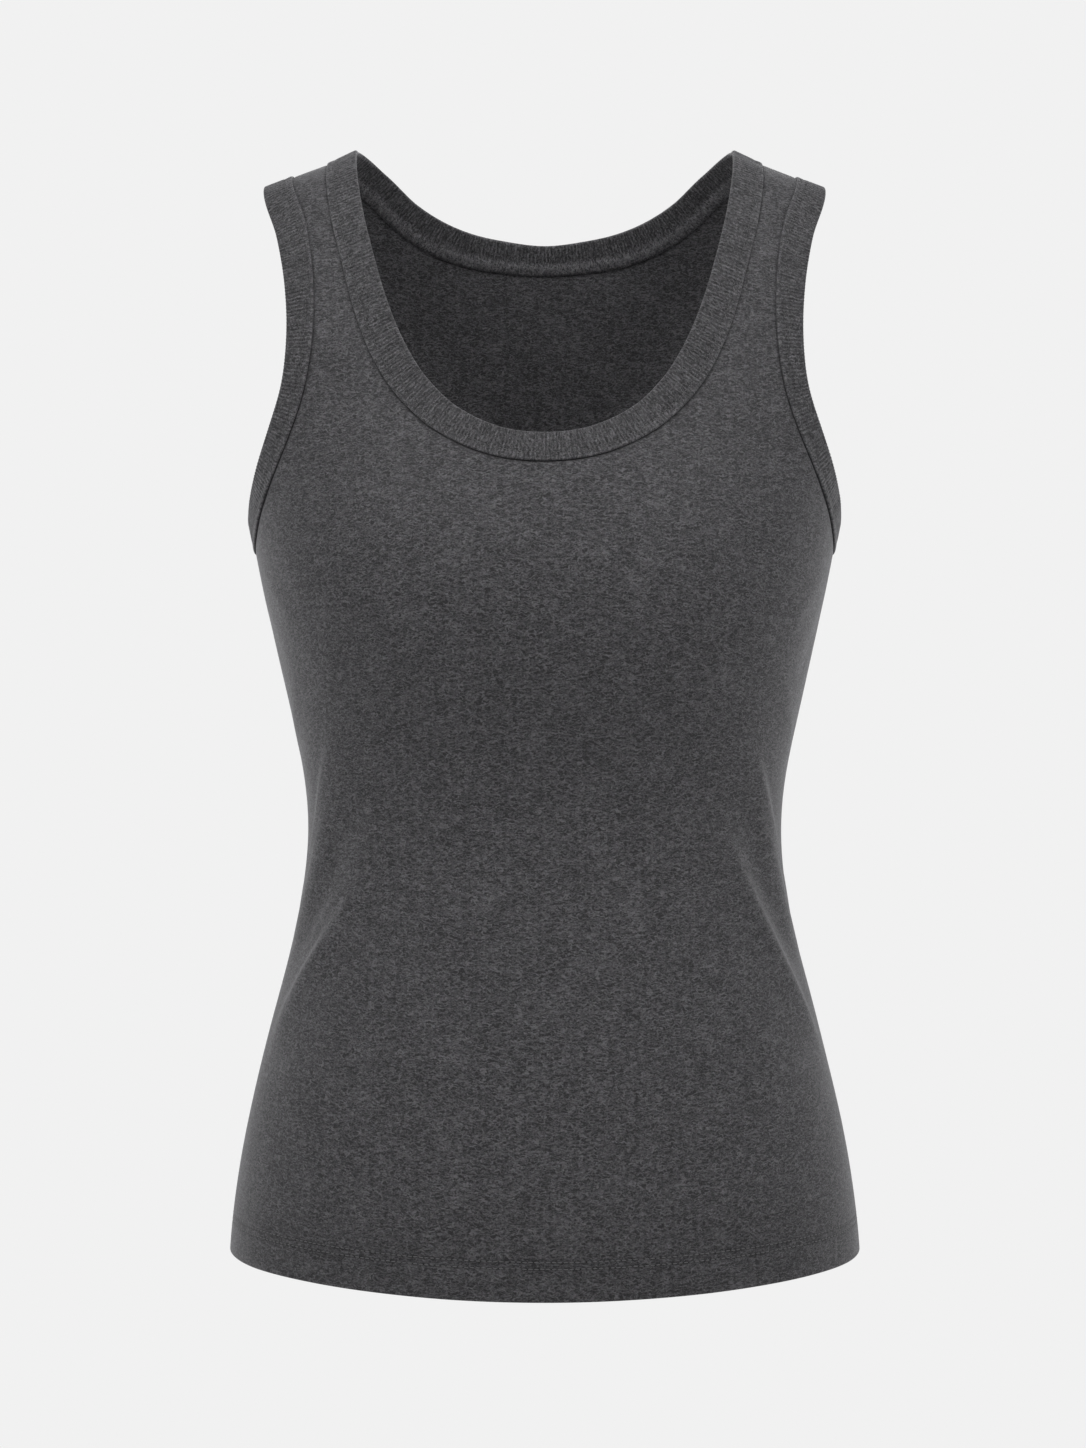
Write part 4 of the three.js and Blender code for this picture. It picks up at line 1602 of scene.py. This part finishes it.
    def wave(self, at: Array, place: Array, random: np.random.Generator, pitch: float, height: float) -> Array:
        """A slow uneven wave over the strip that closes on itself.

        Args:
            at: Length round the ring, by station.
            place: Places across, by station and corner.
            random: Where its phases come from.
            pitch: Its shortest length.
            height: Its height.

        Returns:
            Values like place.
        """
        total = np.zeros(place.shape)
        for _ in range(6):
            turns = round(self.length / (pitch * random.uniform(1.0, 3.0)))
            skew = random.uniform(-120.0, 120.0)
            total += np.sin(2.0 * math.pi * turns * at / self.length + skew * place + random.uniform(0.0, 6.3))
        return height * total / math.sqrt(6.0)


@dataclass(frozen=True)
class AreaLight:
    """A soft light of the studio, facing a point of the garment."""

    name: str
    place: tuple[float, float, float]
    width: float
    height: float
    power: float
    aim: tuple[float, float, float] = (0.0, 0.0, -0.30)


@dataclass
class Studio:
    """The pale room: an even backdrop of light, soft lamps, a floor and the camera."""

    backdrop: float = 0.88
    fill: float = 0.18
    floor_z: float = -1.2
    floor_size: float = 3.3
    camera_place: tuple[float, float, float] = (-0.00092, -1.230, -0.2877)
    frame_height: float = 0.7595
    sensor: float = 36.0
    lamps: tuple[AreaLight, ...] = (
        AreaLight("key_left", (-1.0, -1.1, 1.0), 0.9, 0.9, 13.8, (0.0, 0.0, -0.25)),
        AreaLight("key_right", (1.0, -1.1, 1.0), 0.9, 0.9, 13.8, (0.0, 0.0, -0.25)),
        AreaLight("low_front", (0.0, -1.3, -1.15), 1.2, 0.8, 1.0),
        AreaLight("side_left", (-1.5, 0.1, -0.3), 0.6, 1.4, 1.8),
        AreaLight("side_right", (1.5, 0.1, -0.3), 0.6, 1.4, 1.8),
        AreaLight("rim_left", (-1.1, 0.8, -0.3), 0.4, 1.4, 2.2),
        AreaLight("rim_right", (1.1, 0.8, -0.3), 0.4, 1.4, 2.2),
        AreaLight("rear_left", (-0.75, 1.3, -0.3), 0.4, 1.4, 2.0),
        AreaLight("rear_right", (0.75, 1.3, -0.3), 0.4, 1.4, 2.0),
        AreaLight("rear_top", (0.0, 1.2, 1.1), 1.2, 0.6, 5.0, (0.0, 0.0, -0.2)),
        AreaLight("rear_soft", (0.0, 1.9, 0.45), 0.8, 0.8, 9.0),
    )

    def world(self) -> None:
        """An even white world, dimmer as a light than as the backdrop."""
        world = bpy.data.worlds.new("studio")
        bpy.context.scene.world = world
        world.use_nodes = True
        tree = world.node_tree
        tree.nodes.clear()
        path = tree.nodes.new("ShaderNodeLightPath")
        seen = tree.nodes.new("ShaderNodeBackground")
        seen.inputs["Color"].default_value = (self.backdrop, self.backdrop, self.backdrop, 1.0)
        lit = tree.nodes.new("ShaderNodeBackground")
        lit.inputs["Color"].default_value = (self.fill, self.fill, self.fill, 1.0)
        choice = tree.nodes.new("ShaderNodeMixShader")
        output = tree.nodes.new("ShaderNodeOutputWorld")
        tree.links.new(path.outputs["Is Camera Ray"], choice.inputs[0])
        tree.links.new(lit.outputs[0], choice.inputs[1])
        tree.links.new(seen.outputs[0], choice.inputs[2])
        tree.links.new(choice.outputs[0], output.inputs["Surface"])

    def floor(self) -> None:
        """A plain pale floor, well below the garment."""
        bpy.ops.object.select_all(action="DESELECT")
        bpy.ops.mesh.primitive_plane_add(size=self.floor_size)
        floor = bpy.context.active_object
        floor.name = "floor"
        for vertex in floor.data.vertices:
            vertex.co.z = self.floor_z
        shader = Shader("floor_paint")
        shader.surface.inputs["Base Color"].default_value = (0.78, 0.78, 0.78, 1.0)
        shader.surface.inputs["Roughness"].default_value = 0.8
        floor.data.materials.append(shader.material)

    def light(self, lamp: AreaLight) -> None:
        """Adds one soft lamp."""
        data = bpy.data.lights.new(lamp.name, "AREA")
        data.shape = "RECTANGLE"
        data.size = lamp.width
        data.size_y = lamp.height
        data.energy = lamp.power
        made = bpy.data.objects.new(lamp.name, data)
        made.location = lamp.place
        toward = Vector(lamp.aim) - Vector(lamp.place)
        made.rotation_euler = toward.to_track_quat("-Z", "Y").to_euler()
        bpy.context.scene.collection.objects.link(made)

    def camera(self) -> None:
        """Sets up the photo's camera, level and straight in front."""
        data = bpy.data.cameras.new("camera")
        data.sensor_fit = "AUTO"
        data.sensor_width = self.sensor
        data.lens = self.sensor * abs(self.camera_place[1]) / self.frame_height
        camera = bpy.data.objects.new("camera", data)
        camera.location = self.camera_place
        camera.rotation_euler = (0.5 * math.pi, 0.0, 0.0)
        bpy.context.scene.collection.objects.link(camera)
        bpy.context.scene.camera = camera

    def build(self) -> None:
        """Builds the room, its lights and the camera."""
        bpy.context.scene.view_settings.view_transform = "Standard"
        self.world()
        self.floor()
        for lamp in self.lamps:
            self.light(lamp)
        self.camera()
        log.info("studio: %d lamps", len(self.lamps))


JERSEY_FINISH = KnitFinish("charcoal_jersey", (0.030, 0.0295, 0.031, 1.0), (0.186, 0.184, 0.191, 1.0), (0.72, 1.95, 1.0))
RIB_FINISH = KnitFinish("charcoal_rib", (0.033, 0.0325, 0.034, 1.0), (0.215, 0.213, 0.220, 1.0), (2.0, 0.85, 1.0))


@dataclass
class TankTop:
    """The whole garment."""

    form: Form = field(default_factory=Form)

    def ring_of(self, front: CutEdge, back: CutEdge, steps: int) -> Stations:
        """An armhole's ring, up the front and down the back, ending where it starts."""
        up = front.stations(steps)
        down = back.stations(steps).turned()
        return joined(up, down.part(1))

    def neck_ring(self, front: CutEdge, back: CutEdge, steps: int) -> Stations:
        """The neck's ring, across the front from left to right and back along the back, ending where it starts."""
        half = front.stations(steps)
        half_back = back.stations(steps)
        return joined(
            half.mirrored().turned(), half.part(1), half_back.turned().part(1), half_back.mirrored().part(1)
        )

    def side_allowances(self, jersey: bpy.types.Material, thread: bpy.types.Material) -> None:
        """Makes both side seams' allowances, laid towards the back, with their overlock stitches."""
        form = self.form
        z = np.linspace(HEM_Z + HEM_DEPTH + 0.004, UNDERARM_Z - 0.003, 260)
        for side, word in ((-1.0, "left"), (1.0, "right")):
            angle = np.full(len(z), side * 0.5 * math.pi)
            way = form.way_at(angle, z, False)
            outward = form.normal(angle, way)
            points = form.cloth(angle, way, 0.0)
            across = np.zeros_like(points)
            across[:, 1] = 1.0
            path = Path(points, outward, across)
            self.overlocked(Allowance(f"side_allowance_{word}", path), jersey, thread)

    def shoulder_allowances(
        self, jersey: bpy.types.Material, thread: bpy.types.Material, neck: CutEdge, armhole: CutEdge
    ) -> None:
        """Makes both shoulder seams' allowances, laid towards the back, with their overlock stitches."""
        form = self.form
        ends = (neck.curve().angle[-1] + 0.012, armhole.curve().angle[-1] - 0.012)
        for side, word in ((-1.0, "left"), (1.0, "right")):
            angle = side * np.linspace(*ends, 60)
            way = np.full(len(angle), 1.0)
            points = form.cloth(angle, way, 0.0)
            outward = form.normal(angle, way)
            across = unit(np.cross(outward, np.gradient(points, axis=0)))
            across = across * np.sign(across[:, 1:2])
            path = Path(points, outward, across)
            self.overlocked(Allowance(f"shoulder_allowance_{word}", path), jersey, thread)

    def overlocked(self, allowance: Allowance, jersey: bpy.types.Material, thread: bpy.types.Material) -> None:
        """Makes one allowance and the stitches over its edge."""
        piece = place_piece(allowance.build(), jersey)
        path = allowance.path
        place = allowance.width - 0.0016
        points = path.points + path.across * place + path.outward * (allowance.inner_out * 0.82)
        edge = Path(points, path.outward, path.across)
        stem = allowance.name.replace("allowance", "overlock")
        stitches = Stitching(stem, (edge,), pitch=0.0024, zigzag=0.0016)
        sewing = place_piece(stitches.build(), thread)
        flat = (allowance.length, 2.0 * allowance.width)
        min(allowance.area, flat[0] * flat[1])

    def build(self) -> None:
        """Makes every piece and puts each in place of its solid."""
        form = self.form
        jersey = JERSEY_FINISH.build()
        rib = RIB_FINISH.build()
        front_neck = CutEdge(form, FRONT_NECK, False)
        back_neck = CutEdge(form, BACK_NECK, True, (0.97, 0.24, 0.0))
        front_arm = CutEdge(form, FRONT_ARMHOLE, False)
        back_arm = CutEdge(form, BACK_ARMHOLE, True)
        panels = (
            Panel("front", form, False, front_neck, front_arm, FRONT_NECK_Z, 96),
            Panel("back", form, True, back_neck, back_arm, BACK_NECK_Z, 54),
        )
        for panel in panels:
            piece = place_piece(panel.build(), jersey)
            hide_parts(f"{panel.name}_panel")
        thread = ThreadFinish().build()
        hem = Hem()
        rows = [
            Stitching(f"hem_stitches_{k}", tuple(p.hem_path(height, 0.00108) for p in panels), pitch=0.0028, radius=0.00028)
            for k, height in enumerate(hem.needle_rows, 1)
        ]
        middle = 0.5 * sum(hem.needle_rows)
        looper = tuple(p.hem_path(middle, -0.00056) for p in panels)
        rows.append(Stitching("hem_looper", looper, pitch=0.0028, zigzag=0.5 * (hem.needle_rows[1] - hem.needle_rows[0])))
        for row in rows:
            place_piece(row.build(), thread)
        self.side_allowances(jersey, thread)
        self.shoulder_allowances(jersey, thread, front_neck, front_arm)

        arm_ring = self.ring_of(front_arm, back_arm, 120)
        bindings = (
            Binding("neck_band", form, self.neck_ring(front_neck, back_neck, 120), 1.0, True),
            Binding("armhole_band_left", form, arm_ring.mirrored(), 1.0, False),
            Binding("armhole_band_right", form, arm_ring, -1.0, False),
        )
        for binding in bindings:
            piece = place_piece(binding.build(), rib)
            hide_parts(binding.name.replace("band", "binding"))
            place = binding.stitch_place
            stem = binding.name.replace("band", "stitches")
            top = Stitching(stem, (binding.path(place, 0.00180),))
            under = Stitching(f"{stem}_looper", (binding.path(place - 0.0008, -0.00080),), zigzag=0.0012)
            sewing = [place_piece(row.build(), thread) for row in (top, under)]


def main() -> None:
    """Builds the garment and its studio."""
    logging.basicConfig(level=logging.INFO, format="%(name)s: %(message)s")
    TankTop().build()
    Studio().build()


if __name__ == "__main__":
    main()
